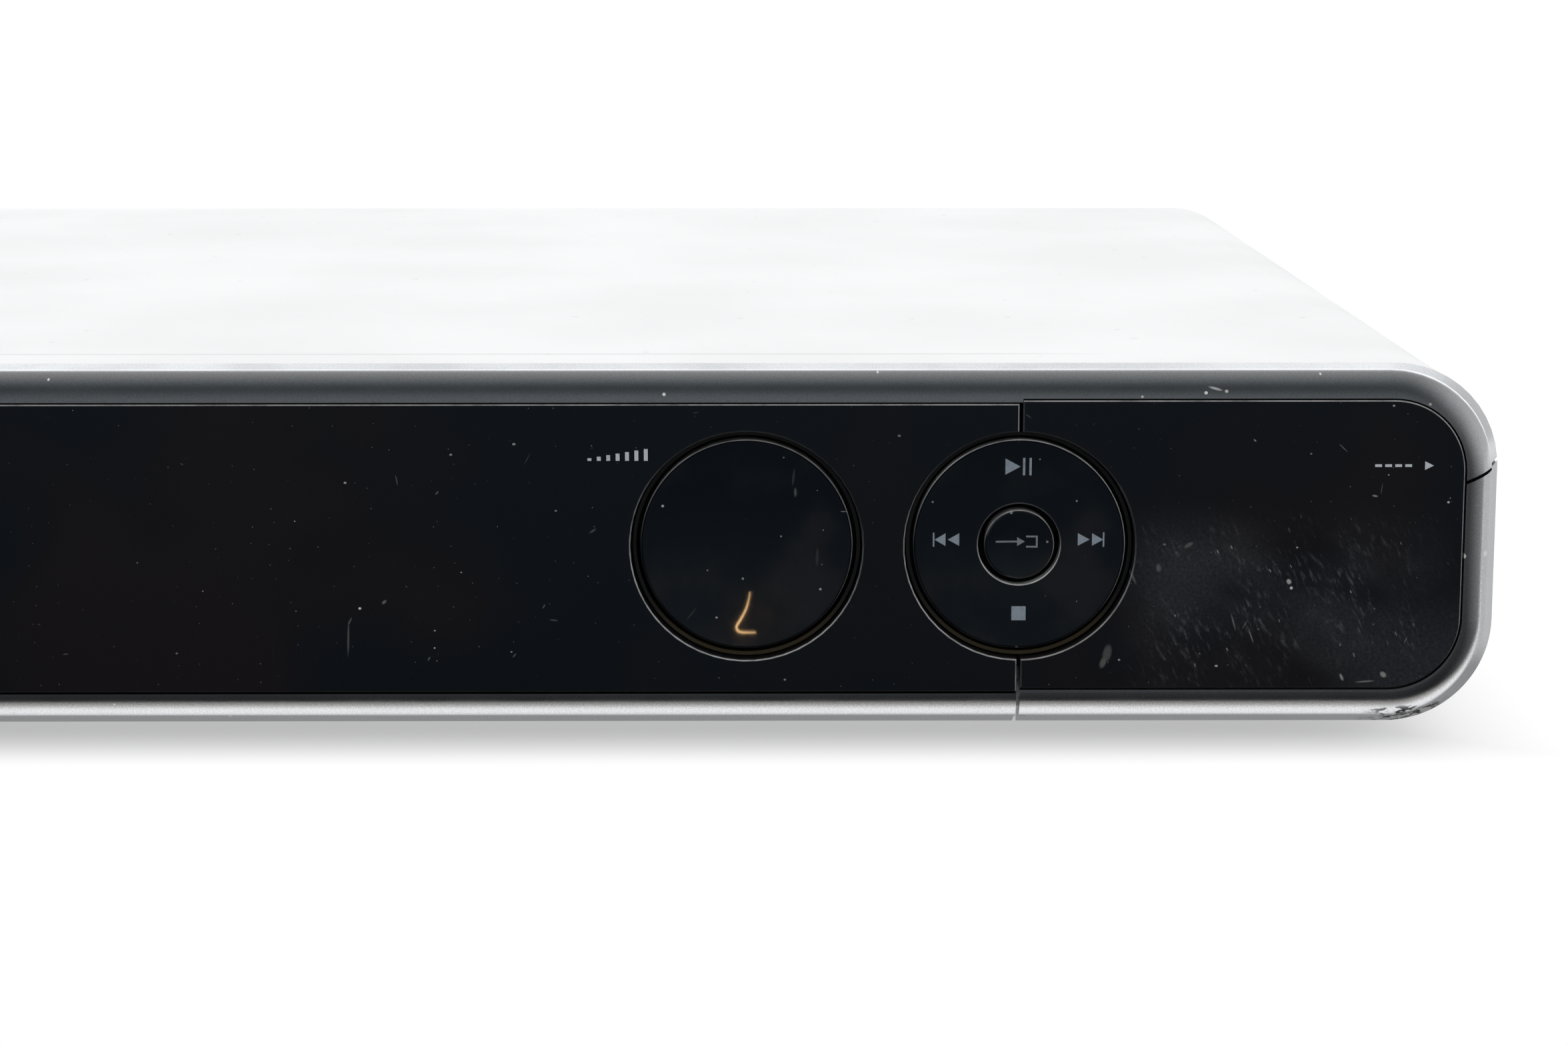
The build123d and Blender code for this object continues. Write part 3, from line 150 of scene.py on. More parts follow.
def axis(finish, place, letter):
    return add_node(finish, "ShaderNodeSeparateXYZ", {"Vector": place}).outputs[letter]


def along(finish, letter):
    """The object's own X, Y or Z in metres."""
    return axis(finish, where(finish), letter)


def sum_up(finish, operation, *terms):
    """A Math node on numbers or other nodes' outputs."""
    node = add_node(finish, "ShaderNodeMath", dict(enumerate(terms)), operation=operation)
    return node.outputs["Value"]


def times(finish, product, *others):
    for other in others:
        product = sum_up(finish, "MULTIPLY", product, other)
    return product


def most(finish, largest, *others):
    for other in others:
        largest = sum_up(finish, "MAXIMUM", largest, other)
    return largest


def span(finish, value, low, high, start=0.0, end=1.0, curve="LINEAR"):
    """Goes from start to end as value goes from low to high."""
    feeds = {"Value": value, "From Min": low, "From Max": high, "To Min": start, "To Max": end}
    node = add_node(finish, "ShaderNodeMapRange", feeds, interpolation_type=curve)
    return node.outputs["Result"]


def ramp(finish, value, low, high, start=0.0, end=1.0):
    """The same with soft ends."""
    return span(finish, value, low, high, start, end, "SMOOTHSTEP")


def colour_steps(finish, share, stops):
    """A colour ramp with listed places and colours."""
    node = add_node(finish, "ShaderNodeValToRGB", {"Fac": share})
    steps = node.color_ramp.elements
    while len(steps) < len(stops):
        steps.new(0.5)
    for step, (place, colour) in zip(steps, stops):
        step.position = place
        step.color = (*colour, 1.0)
    return node.outputs["Color"]


def mix_shaders(finish, share, under, over):
    node = add_node(finish, "ShaderNodeMixShader", {"Fac": share, 1: under, 2: over})
    return node.outputs["Shader"]


table_paint = mix_finish("table_white", (TABLE_WHITE, TABLE_WHITE, TABLE_WHITE), 0.9)
feed_surface(table_paint, "Specular IOR Level", 0.1)
table_x = along(table_paint, "X")
table_y = along(table_paint, "Y")
table_seen = add_node(table_paint, "ShaderNodeLightPath").outputs
table_fade = most(
    table_paint,
    ramp(table_paint, table_y, *SHADOW_FRONT, TABLE_LIFT),
    ramp(table_paint, table_y, *SHADOW_BACK, TABLE_LIFT),
    *(ramp(table_paint, table_x, *reach, TABLE_LIFT) for reach in SHADOW_SIDES),
)
table_direct = times(table_paint, table_fade, table_seen["Is Camera Ray"])
table_share = most(
    table_paint, table_direct, table_seen["Is Glossy Ray"], table_seen["Is Transmission Ray"]
)
# Glossy rays don't see the lit table but a painted reflection. It is an emission that is dark at the
# front edge and brightest just in front of the player. It is dim under the player as a painted shadow,
# lighter towards the sides and back, and tinted warm towards the front.
table_near = span(table_paint, table_y, *MIRROR_NEAR)
table_painted_greys = [(place, (light, light, light)) for place, light in TABLE_PAINTED_REFLECTION_STOPS]
table_painted_reflection = most(
    table_paint,
    ramp(table_paint, table_y, *SHADOW_BACK),
    *(ramp(table_paint, table_x, *reach, 0.0, TABLE_SIDE_GLOW) for reach in GLOW_SIDES),
    colour_steps(table_paint, table_near, table_painted_greys),
)
table_painted_warmth = colour_steps(table_paint, table_near, TABLE_PAINTED_WARMTH_STOPS)
table_feeds = {"Color": table_painted_warmth, "Strength": table_painted_reflection}
table_painted_mirror = add_node(table_paint, "ShaderNodeEmission", table_feeds).outputs["Emission"]
table_glow = add_node(table_paint, "ShaderNodeEmission", {"Strength": TABLE_GLOW}).outputs["Emission"]
table_lit = mix_shaders(table_paint, table_seen["Is Glossy Ray"], table_glow, table_painted_mirror)
table_nodes = table_paint.node_tree.nodes
table_mix = mix_shaders(
    table_paint, table_share, table_nodes["Principled BSDF"].outputs["BSDF"], table_lit
)
table_below = add_node(table_paint, "ShaderNodeNewGeometry").outputs["Backfacing"]
table_clear = add_node(table_paint, "ShaderNodeBsdfTransparent").outputs["BSDF"]
table_mix = mix_shaders(table_paint, table_below, table_mix, table_clear)
feed(table_paint, table_nodes["Material Output"].inputs["Surface"], table_mix)
table_data.materials.append(table_paint)


# ---- Daylight ---------------------------------------------------------------------------
# A white room behind and above, darker towards the viewer and brighter at the sides, which
# is what the gloss mirrors. The camera itself sees plain white.
WHITE = (1.0, 1.0, 1.0, 1.0)
ROOM_AMBIENT = 0.55
ROOM_SIDE = 0.33
ROOM_SIDE_FROM = 0.45
ROOM_LOW = 0.3
ROOM_LOW_FROM = -0.25
ROOM_LEAN = 0.05
ROOM_STOPS = (
    (0.0, 0.13),
    (0.03, 0.13),
    (0.09, 0.08),
    (0.18, 0.05),
    (0.29, 0.07),
    (0.415, 0.13),
    (0.67, 0.24),
    (0.82, 0.3),
    (0.9, 0.36),
    (0.94, 0.5),
    (0.958, 1.42),
)
ROOM_COOL_UNTIL = 0.5
ROOM_COOL = 0.07
ROOM_NEUTRAL = 0.015

room = bpy.data.worlds.new("white_room")
room.use_nodes = True
room.cycles.sampling_method = "NONE"
bpy.context.scene.world = room
room_even = room.node_tree.nodes["Background"]
feed(room, room_even.inputs["Color"], WHITE)
feed(room, room_even.inputs["Strength"], ROOM_AMBIENT)

room_colours = []
for room_stop, light in ROOM_STOPS:
    cool = ROOM_COOL if room_stop < ROOM_COOL_UNTIL else ROOM_NEUTRAL
    room_colours.append((room_stop, (light * (1 - cool), light, light * (1 + cool))))
room_place = add_node(room, "ShaderNodeTexCoord").outputs["Generated"]
room_side = sum_up(room, "ABSOLUTE", axis(room, room_place, "X"))
room_lean = span(room, room_side, 0.1, ROOM_SIDE_FROM, 0.0, ROOM_LEAN)
room_turned = sum_up(room, "ADD", span(room, axis(room, room_place, "Y"), -1.0, 1.0), room_lean)
room_feeds = {
    "Fac": 1.0,
    "Color1": colour_steps(room, room_turned, room_colours),
    "Color2": span(room, room_side, ROOM_SIDE_FROM, 1.0, 0.0, ROOM_SIDE),
}
room_sum = add_node(room, "ShaderNodeMixRGB", room_feeds, blend_type="ADD").outputs["Color"]
room_floor = span(room, axis(room, room_place, "Z"), ROOM_LOW_FROM, 0.0, ROOM_LOW)
room_mirror = add_node(room, "ShaderNodeBackground", {"Color": room_sum, "Strength": room_floor})
room_white = add_node(room, "ShaderNodeBackground", {"Color": WHITE})

room_seen = add_node(room, "ShaderNodeLightPath").outputs
room_glossy = mix_shaders(room, room_seen["Is Glossy Ray"], room_even.outputs[0], room_mirror.outputs[0])
room_clear = most(room, room_seen["Is Camera Ray"], room_seen["Is Transmission Ray"])
room_camera = mix_shaders(room, room_clear, room_glossy, room_white.outputs[0])
feed(room, room.node_tree.nodes["World Output"].inputs["Surface"], room_camera)


def hang_softbox(name, place, aim, width, height, power):
    """A soft lamp that lights the player but isn't mirrored in its gloss."""
    lamp_data = bpy.data.lights.new(name, "AREA")
    lamp_data.shape = "RECTANGLE"
    lamp_data.size = width
    lamp_data.size_y = height
    lamp_data.energy = power
    lamp = bpy.data.objects.new(name, lamp_data)
    lamp.location = place
    lamp.rotation_euler = (Vector(aim) - Vector(place)).to_track_quat("-Z", "Y").to_euler()
    lamp.visible_glossy = False
    lamp.visible_camera = False
    bpy.context.scene.collection.objects.link(lamp)


hang_softbox("ceiling_softbox", (0.1, 0.15, 1.5), (0.1, -0.05, 0.0), width=1.8, height=1.4, power=10.2)
hang_softbox("front_fill", (0.2, -1.5, 0.9), (0.1, -0.15, 0.03), width=1.6, height=0.9, power=8.0)
hang_softbox("back_fill", (-0.2, 1.7, 0.9), (0.0, 0.15, 0.03), width=1.6, height=0.9, power=7.0)


# ---- Glint ------------------------------------------------------------------------------
# A warm lamp's wire stands low in front of the table. Only the dished knob mirrors it, as a
# small golden hook near the knob's lower edge.
GLINT_Y = -0.45
GLINT_R = 0.00016
GLINT_ROUTE = (
    (97.0, -5.4, 0.6),
    (97.4, -2.4, 0.9),
    (98.9, 1.0, 1.2),
    (100.5, 3.5, 1.4),
    (100.5, 5.0, 1.2),
    (98.9, 5.55, 0.9),
    (95.6, 5.4, 0.6),
)

GLINT_COLOUR = (1.0, 0.62, 0.27, 1.0)
GLINT_LIGHT = 30.0

glint_wire = bpy.data.curves.new("lamp_glint", "CURVE")
glint_wire.dimensions = "3D"
glint_wire.bevel_depth = GLINT_R
glint_line = glint_wire.splines.new("NURBS")
glint_line.points.add(len(GLINT_ROUTE) - 1)
for point, (x, z, thickness) in zip(glint_line.points, GLINT_ROUTE):
    point.co = (x * MM, GLINT_Y, z * MM, 1.0)
    point.radius = thickness
glint_line.order_u = 3
glint_line.use_endpoint_u = True
glint = bpy.data.objects.new("lamp_glint", glint_wire)
bpy.context.scene.collection.objects.link(glint)
glint.visible_camera = False
glint.visible_diffuse = False
glint.visible_shadow = False
glint_paint = bpy.data.materials.new("lamp_warm")
glint_paint.use_nodes = True
glint_feeds = {"Color": GLINT_COLOUR, "Strength": GLINT_LIGHT}
glint_glow = add_node(glint_paint, "ShaderNodeEmission", glint_feeds).outputs["Emission"]
feed(glint_paint, glint_paint.node_tree.nodes["Material Output"].inputs["Surface"], glint_glow)
glint_wire.materials.append(glint_paint)


# ---- Top cover --------------------------------------------------------------------------
# One bent steel sheet with rounded shoulders, powder coated in a silver that reads white.
# A shallow pressed line crosses it near the front, darkened in colour as painted shade, and the coat has
# dust and light rubs. A painted shadow darkens a thin line at the right shoulder, along the gap to the
# frame.
COVER_COLOUR = (0.80, 0.81, 0.81)
GROOVE_Y = -133.0 * MM
GROOVE_W = 1.4 * MM
GROOVE_END_X = 166.0 * MM
GROOVE_FADE = 30.0 * MM
COVER_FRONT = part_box("top_cover")[0].y
SEAM_SHADOW_Y = (COVER_FRONT + 2.2 * MM, COVER_FRONT + 1.2 * MM)
SEAM_SHADOW_LEFT = (195.5 * MM, 198.5 * MM)
SEAM_SHADOW_RIGHT = (207.5 * MM, 203.5 * MM)


def grain(finish, place, size, detail=2.0, rough=0.5):
    """Soft blotches, each about size metres wide, from 0 to 1."""
    feeds = {"Vector": place, "Scale": 1.0 / size, "Detail": detail, "Roughness": rough}
    return add_node(finish, "ShaderNodeTexNoise", feeds).outputs["Fac"]


def specks(finish, place, spacing, size, share):
    """Scattered dots in the pattern's X and Y, of up to size, in a share of the cells."""
    feeds = {"Vector": place, "Scale": 1.0 / spacing}
    cells = add_node(finish, "ShaderNodeTexVoronoi", feeds, voronoi_dimensions="2D").outputs
    chance = axis(finish, cells["Color"], "X")
    width = times(finish, axis(finish, cells["Color"], "Y"), size / spacing)
    dot = sum_up(finish, "LESS_THAN", cells["Distance"], width)
    return times(finish, dot, sum_up(finish, "LESS_THAN", chance, share))


def tint(finish, share, under, over):
    """Two colours, or outputs, mixed by a share."""
    colours = [c if isinstance(c, bpy.types.NodeSocket) else (*c, 1.0) for c in (under, over)]
    feeds = {0: share, 6: colours[0], 7: colours[1]}
    return add_node(finish, "ShaderNodeMix", feeds, data_type="RGBA").outputs[2]


def darker(colour, share):
    return tuple(share * part for part in colour)


def raise_bump(finish, height, depth, strength=1.0):
    """Bends the surface's shading as if height were cut depth metres deep."""
    feeds = {"Height": height, "Distance": depth, "Strength": strength}
    feed_surface(finish, "Normal", add_node(finish, "ShaderNodeBump", feeds).outputs["Normal"])


def dress(finish, *nodes):
    """Gives CAD nodes this material in every slot."""
    for node in nodes:
        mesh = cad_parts[node].data
        if not mesh.materials:
            mesh.materials.append(finish)
        for i in range(len(mesh.materials)):
            mesh.materials[i] = finish


cover = mix_finish("cover_paint", COVER_COLOUR, 0.42)
cover_place = where(cover)
cover_x = axis(cover, cover_place, "X")
cover_y = axis(cover, cover_place, "Y")
groove_side = sum_up(cover, "ABSOLUTE", sum_up(cover, "SUBTRACT", cover_y, GROOVE_Y))
# The pressed line's mask: it shapes the bump, and it also darkens the colour as painted shade.
groove_with_painted_shade = times(
    cover,
    ramp(cover, groove_side, GROOVE_W / 2, 0.0),
    ramp(cover, cover_x, GROOVE_END_X, GROOVE_END_X - GROOVE_FADE),
)
# A painted shadow: a dark line along the cover's front edge at the right shoulder, where it meets the
# frame.
painted_seam_shadow = times(
    cover,
    ramp(cover, cover_y, *SEAM_SHADOW_Y),
    ramp(cover, cover_x, *SEAM_SHADOW_LEFT),
    ramp(cover, cover_x, *SEAM_SHADOW_RIGHT),
)
cover_rubs = specks(cover, where(cover, turn=(0, 0, 24), stretch=(0.12, 1, 1)), 0.011, 0.0003, 0.3)
cover_dust = specks(cover, cover_place, 0.016, 0.0007, 0.35)
cover_cloud = grain(cover, cover_place, 0.05, 3.0)
cover_tone = tint(cover, cover_cloud, COVER_COLOUR, darker(COVER_COLOUR, 0.97))
for cover_mask, cover_share, cover_shade in (
    (groove_with_painted_shade, 0.45, (0.35, 0.36, 0.37)),
    (painted_seam_shadow, 0.85, (0.07, 0.07, 0.065)),
    (cover_rubs, 0.12, (0.5, 0.5, 0.5)),
    (cover_dust, 0.35, (0.42, 0.42, 0.42)),
):
    cover_tone = tint(cover, times(cover, cover_mask, cover_share), cover_tone, cover_shade)
feed_surface(cover, "Base Color", cover_tone)
feed_surface(cover, "Roughness", ramp(cover, cover_cloud, 0.3, 0.7, 0.38, 0.46))
cover_peel = times(cover, grain(cover, cover_place, 0.0011, 2.0), 0.06)
raise_bump(cover, sum_up(cover, "SUBTRACT", cover_peel, groove_with_painted_shade), 0.00025, 0.5)
dress(cover, "top_cover")


# ---- Silver frame and flap trim ---------------------------------------------------------
# Moulded plastic in a satin silver lacquer with fine metal flakes. The trim is a cut of the
# same frame that moves with the flap. Its lower right corner has chips down to dark plastic.
SILVER = (0.74, 0.75, 0.765)
CHIP_LEFT = 199.5 * MM
CHIP_RIGHT = 212.0 * MM
CHIP_TOP = 10.8 * MM
SILVER_FLECKS = (
    (210.9, 34.4, 1.1, 1.0, 0, 0.7),
    (214.7, 34.5, 1.0, 1.2, 0, 0.8),
    (171.9, 60.6, 2.6, 0.5, -14, 0.35),
    (173.6, 60.2, 0.7, 0.6, 0, 0.5),
    (160.6, 59.4, 0.5, 0.5, 0, 0.5),
    (205.0, 58.2, 0.6, 0.5, 0, 0.4),
)


def fleck(finish, x, z, length, width, angle):
    """One soft-edged mark on the front at (x, z) in mm, at an angle from level in degrees."""
    feeds = {
        "Vector": add_node(finish, "ShaderNodeTexCoord").outputs["Object"],
        "Location": (x * MM, 0.0, z * MM),
        "Rotation": (0.0, radians(-angle), 0.0),
        "Scale": (length / 2 * MM, 1.0, width / 2 * MM),
    }
    spot = add_node(finish, "ShaderNodeMapping", feeds, vector_type="TEXTURE").outputs["Vector"]
    feeds = {0: spot, 1: (1.0, 0.0, 1.0)}
    flat = add_node(finish, "ShaderNodeVectorMath", feeds, operation="MULTIPLY").outputs["Vector"]
    reach = add_node(finish, "ShaderNodeVectorMath", {0: flat}, operation="LENGTH").outputs["Value"]
    return ramp(finish, reach, 1.0, 0.45)


def lay_flecks(finish, marks, flecks):
    """Adds listed flecks to the marks: place across and up, length, width, angle, brightness."""
    for x, z, length, width, angle, light in flecks:
        spot = times(finish, fleck(finish, x, z, length, width, angle), light)
        marks = most(finish, marks, spot)
    return marks


silver = mix_finish("silver_lacquer", SILVER, 0.24, metallic=1.0)
silver_place = where(silver)
flakes = grain(silver, silver_place, 0.00022, 1.0)
silver_cloud = grain(silver, silver_place, 0.012, 3.0)
chip_x = axis(silver, silver_place, "X")
chip_z = axis(silver, silver_place, "Z")
chip_noise = grain(silver, where(silver, stretch=(0.6, 1, 1)), 0.0011, 3.0, 0.65)
chips = times(
    silver,
    ramp(silver, chip_noise, 0.5, 0.54),
    ramp(silver, chip_x, CHIP_LEFT - 0.004, CHIP_LEFT + 0.002),
    ramp(silver, chip_x, CHIP_RIGHT, CHIP_RIGHT - 0.004),
    ramp(silver, chip_z, CHIP_TOP, CHIP_TOP - 0.0012),
)
silver_dust = specks(silver, where(silver, turn=(90, 0, 0)), 0.0085, 0.00026, 0.25)
silver_hair = where(silver, turn=(90, 0, 35), stretch=(0.14, 1, 1))
silver_marks = most(silver, silver_dust, specks(silver, silver_hair, 0.011, 0.00012, 0.2))
silver_spots = lay_flecks(silver, 0.0, SILVER_FLECKS)
silver_tone = tint(silver, ramp(silver, flakes, 0.35, 0.7), SILVER, darker(SILVER, 0.86))
silver_tone = tint(silver, times(silver, silver_marks, 0.5), silver_tone, (0.9, 0.9, 0.88))
silver_tone = tint(silver, chips, silver_tone, (0.05, 0.045, 0.04))
silver_tone = tint(silver, silver_spots, silver_tone, (0.8, 0.79, 0.76))
feed_surface(silver, "Base Color", silver_tone)
bare = most(silver, chips, times(silver, silver_marks, 0.6))
silver_metal = ramp(silver, bare, 0.0, 1.0, 1.0, 0.0)
feed_surface(silver, "Metallic", sum_up(silver, "SUBTRACT", silver_metal, silver_spots))
silver_rough = ramp(silver, silver_cloud, 0.3, 0.7, 0.2, 0.26)
feed_surface(silver, "Roughness", sum_up(silver, "ADD", silver_rough, chips))
silver_height = sum_up(silver, "SUBTRACT", times(silver, flakes, 0.1), chips)
raise_bump(silver, silver_height, 0.00012, 0.6)
dress(silver, "front_bezel", "door_trim")


# ---- Black panels -----------------------------------------------------------------------
# Smoked acrylic plates, polished, with a broken edge whose thin bright line is a painted highlight,
# strongest where the edge faces up and to the right.
# Dust, hair-fine scratches and, on the flap, a dull patch worn by fingers lie on the gloss.
PANEL_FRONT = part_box("fascia_panel")[0].y
PANEL_EDGE = 0.2 * MM
PANEL_BLACK = (0.0032, 0.0050, 0.0074)
PAINTED_EDGE_HIGHLIGHT = (0.33, 0.33, 0.335)
RIM_FRONT = (0.02 * MM, 0.06 * MM)
RIM_FADE = 0.04 * MM
UNPOLISHED = (1.0 * MM, 1.3 * MM)
WORN_LEFT = 155.0 * MM
WORN_RIGHT = 212.0 * MM
WORN_TOP = 44.0 * MM
WORN_ANGLE = -62
CORNER_X = (186.0 * MM, 200.0 * MM)
CORNER_Z = (32.0 * MM, 18.0 * MM)


def painted_light_facing(finish):
    """How much an edge faces up, and a little to the right, where the light comes from, for the strength
    of a painted highlight.
    """
    normal = add_node(finish, "ShaderNodeTexCoord").outputs["Normal"]
    lean = sum_up(finish, "MULTIPLY_ADD", axis(finish, normal, "X"), 0.35, axis(finish, normal, "Z"))
    return ramp(finish, lean, -0.4, 0.55, 0.04, 1.0)


def lying(finish, angle, length, shift=0.0):
    """Places on the front for a pattern drawn out along one angle from level, in degrees."""
    place = add_node(finish, "ShaderNodeTexCoord").outputs["Object"]
    feeds = {"Vector": place, "Rotation": (0.0, radians(-angle), 0.0), "Scale": (length, 1.0, 1.0)}
    turned = add_node(finish, "ShaderNodeMapping", feeds, vector_type="TEXTURE").outputs["Vector"]
    feeds = {"Vector": turned, "Location": (shift, 0.0, 0.0), "Rotation": (radians(90), 0.0, 0.0)}
    return add_node(finish, "ShaderNodeMapping", feeds).outputs["Vector"]


def short_scratches(finish, angle, spacing, width, share, length=6.0):
    """Scattered fine scratches that lie at one angle on the front."""
    return specks(finish, lying(finish, angle, length, 0.013 * angle), spacing, width, share)


def wear_patch(black, place):
    """The flap's worn patch: its haze, and the nicks that lie in it."""
    across = axis(black, place, "X")
    height = axis(black, place, "Z")
    patch = times(
        black,
        ramp(black, across, WORN_LEFT, WORN_LEFT + 0.012),
        ramp(black, across, WORN_RIGHT, WORN_RIGHT - 0.016),
        ramp(black, height, WORN_TOP, WORN_TOP - 0.012),
        ramp(black, height, 0.01, 0.024, 0.25, 1.0),
    )
    streaks = ramp(black, grain(black, lying(black, WORN_ANGLE, 3.5), 0.0006, 4.0, 0.65), 0.5, 0.8)
    clumps = ramp(black, grain(black, lying(black, WORN_ANGLE, 1.6), 0.006, 3.0, 0.6), 0.4, 0.66)
    soft = ramp(black, grain(black, lying(black, -30, 1.6), 0.016, 3.0, 0.55), 0.3, 0.72)
    fine = ramp(black, grain(black, place, 0.0005, 3.0, 0.7), 0.25, 0.75, 0.3, 1.0)
    corner = times(black, ramp(black, across, *CORNER_X), ramp(black, height, *CORNER_Z, 0.0, 0.75))
    smear = times(black, most(black, times(black, soft, patch), corner), fine, 0.048)
    haze = sum_up(black, "ADD", times(black, streaks, clumps, 0.13, patch), smear)
    nicks = 0.0
    for angle, width in ((-58, 0.0001), (-68, 0.00013), (-50, 0.00008)):
        scratches = short_scratches(black, angle, 0.0024, width, 0.4, 3.0)
        nicks = most(black, nicks, times(black, scratches, patch, clumps, 0.34))
    return haze, nicks


def polish_black(name, front, edge, flecks=(), worn=False):
    """Gloss black with a broken edge tinted as a painted highlight, dust and scratches, and a worn patch
    if asked.
    """
    black = mix_finish(name, PANEL_BLACK, 0.04)
    place = where(black)
    depth = sum_up(black, "SUBTRACT", axis(black, place, "Y"), front)
    rim = times(black, ramp(black, depth, *RIM_FRONT), ramp(black, depth, edge + RIM_FADE, edge))
    rim_highlight_breakup = ramp(black, grain(black, place, 0.004, 4.0, 0.7), 0.25, 0.6, 0.45, 1.0)
    cloud = ramp(black, grain(black, place, 0.045, 2.0), 0.42, 0.68)
    tone = tint(black, cloud, PANEL_BLACK, (0.0068, 0.0056, 0.0072))
    dust = specks(black, where(black, turn=(90, 0, 20), stretch=(0.7, 1, 1)), 0.0066, 0.0002, 0.3)
    dust_place = where(black, shift=(0.3, 0.2, 0.1), turn=(90, 0, 0))
    marks = most(black, dust, times(black, specks(black, dust_place, 0.0031, 0.00008, 0.5), 0.5))
    for angle in (62, -35, 8):
        hairs = short_scratches(black, angle, 0.0085, 0.0001, 0.2)
        marks = most(black, marks, times(black, hairs, 0.4))
    marks = times(black, marks, ramp(black, grain(black, place, 0.02, 2.0), 0.35, 0.7, 0.1, 0.6))
    marks = lay_flecks(black, marks, flecks)
    rough = ramp(black, cloud, 0.0, 1.0, 0.03, 0.06)
    if worn:
        haze, nicks = wear_patch(black, place)
        tone = tint(black, haze, tone, (0.48, 0.50, 0.54))
        marks = most(black, marks, nicks)
        rough = sum_up(black, "ADD", rough, times(black, haze, 2.0))
    tone = tint(black, marks, tone, (0.52, 0.52, 0.51))
    # Painted highlight: the broken edge is tinted light grey, most where it faces up and to the right.
    tone = tint(black, times(black, rim, rim_highlight_breakup, painted_light_facing(black)), tone, PAINTED_EDGE_HIGHLIGHT)
    feed_surface(black, "Base Color", tone)
    dull = most(black, marks, rim, ramp(black, depth, *UNPOLISHED))
    feed_surface(black, "Roughness", sum_up(black, "ADD", rough, times(black, dull, 0.5)))
    return black


PANEL_FLECKS = (
    (37.6, 21.5, 6.8, 0.4, 88, 0.10),
    (37.9, 24.2, 1.8, 0.3, 66, 0.12),
    (39.5, 26.3, 0.55, 0.5, 0, 0.95),
    (43.3, 27.3, 1.1, 0.6, 40, 0.16),
    (45.6, 46.5, 2.0, 0.25, 100, 0.10),
    (51.8, 44.5, 0.9, 0.3, 45, 0.14),
    (65.8, 49.8, 2.6, 0.18, 62, 0.05),
    (75.8, 38.5, 1.5, 0.45, 35, 0.08),
    (51.0, 20.0, 0.35, 0.35, 0, 0.6),
    (50.1, 18.3, 0.9, 0.3, 60, 0.14),
    (69.6, 24.4, 1.6, 0.35, -8, 0.08),
    (68.1, 26.6, 0.9, 0.3, 60, 0.12),
    (63.4, 18.8, 1.0, 0.3, 48, 0.12),
)
FLAP_FLECKS = (
    (183.9, 30.4, 1.1, 0.9, -60, 0.5),
    (184.3, 29.4, 0.6, 0.6, 0, 0.85),
    (175.4, 24.0, 3.4, 0.35, -74, 0.14),
    (178.2, 21.8, 3.0, 0.3, -70, 0.16),
    (177.2, 23.6, 2.0, 0.25, 60, 0.1),
    (155.8, 19.0, 3.6, 1.7, 78, 0.09),
    (155.2, 17.6, 2.4, 1.2, 70, 0.12),
    (157.7, 18.0, 0.5, 0.4, 0, 0.4),
    (192.5, 15.2, 1.5, 0.6, -66, 0.3),
    (199.0, 15.6, 1.4, 1.0, -40, 0.32),
    (196.2, 14.5, 3.6, 0.35, 4, 0.2),
    (157.0, 34.0, 4.2, 0.7, -56, 0.14),
    (155.6, 35.8, 3.0, 0.6, -50, 0.12),
    (159.6, 31.2, 3.2, 0.5, -66, 0.1),
    (168.2, 36.2, 2.0, 0.8, 30, 0.1),
    (163.6, 32.6, 1.0, 1.6, 10, 0.1),
    (196.9, 43.9, 1.1, 0.4, -10, 0.3),
    (197.9, 45.0, 2.2, 0.15, 82, 0.12),
    (151.2, 44.2, 1.4, 0.25, -66, 0.26),
    (199.4, 58.0, 0.5, 0.4, 0, 0.5),
    (208.3, 42.9, 0.5, 0.45, 0, 0.7),
    (178.1, 52.6, 0.7, 0.3, -40, 0.3),
    (191.8, 51.4, 2.2, 0.18, -42, 0.16),
)

dress(polish_black("panel_black", PANEL_FRONT, PANEL_EDGE, PANEL_FLECKS), "fascia_panel")
dress(polish_black("gate_black", PANEL_FRONT, PANEL_EDGE), "tray_front")
dress(polish_black("flap_black", PANEL_FRONT, PANEL_EDGE, FLAP_FLECKS, worn=True), "door_panel")


# ---- Knob, ring and buttons -------------------------------------------------------------
# Turned discs in the same black, dished towards their middle, with a fine bright line round each edge
# that is a painted highlight. The left buttons are flat, with the same broken edge and painted highlight
# as the panel.
def mid(box):
    return (box[0] + box[1]) / 2


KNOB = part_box("volume_knob")
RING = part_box("control_ring")
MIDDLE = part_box("source_button")
KNOB_CENTRE = mid(KNOB)
RING_CENTRE = mid(RING)
KNOB_R = (KNOB[1].x - KNOB[0].x) / 2
RING_R = (RING[1].x - RING[0].x) / 2
RING_INNER_R = 6.4 * MM
MIDDLE_R = (MIDDLE[1].x - MIDDLE[0].x) / 2
LINE_W = 0.17 * MM
LINE_FADE = 0.05 * MM
HOLE_LINE = (0.2 * MM, 0.12 * MM)
HOLE_WALL = (1.5 * MM, 1.4 * MM)
KNOB_PAINTED_GLOW = (
    (101.2, 24.2, 17.0, 13.0, 20, 0.01),
    (100.4, 23.6, 11.0, 8.0, 30, 0.02),
    (99.0, 23.4, 6.0, 4.5, 60, 0.032),
)
KNOB_FLECKS = (
    (107.2, 44.2, 1.8, 0.6, 90, 0.1),
    (106.9, 46.6, 3.4, 0.5, 84, 0.04),
    (86.6, 42.1, 0.55, 0.5, 0, 0.7),
    (94.9, 24.4, 0.5, 0.4, 0, 0.5),
    (111.1, 28.9, 0.5, 0.45, 0, 0.6),
    (91.0, 25.0, 3.0, 0.2, 52, 0.05),
    (110.6, 34.0, 3.6, 0.6, 88, 0.03),
)


def distance(finish, first, second):
    """How far from a middle, by its two offsets from there."""
    square = sum_up(finish, "MULTIPLY_ADD", first, first, times(finish, second, second))
    return sum_up(finish, "SQRT", square)


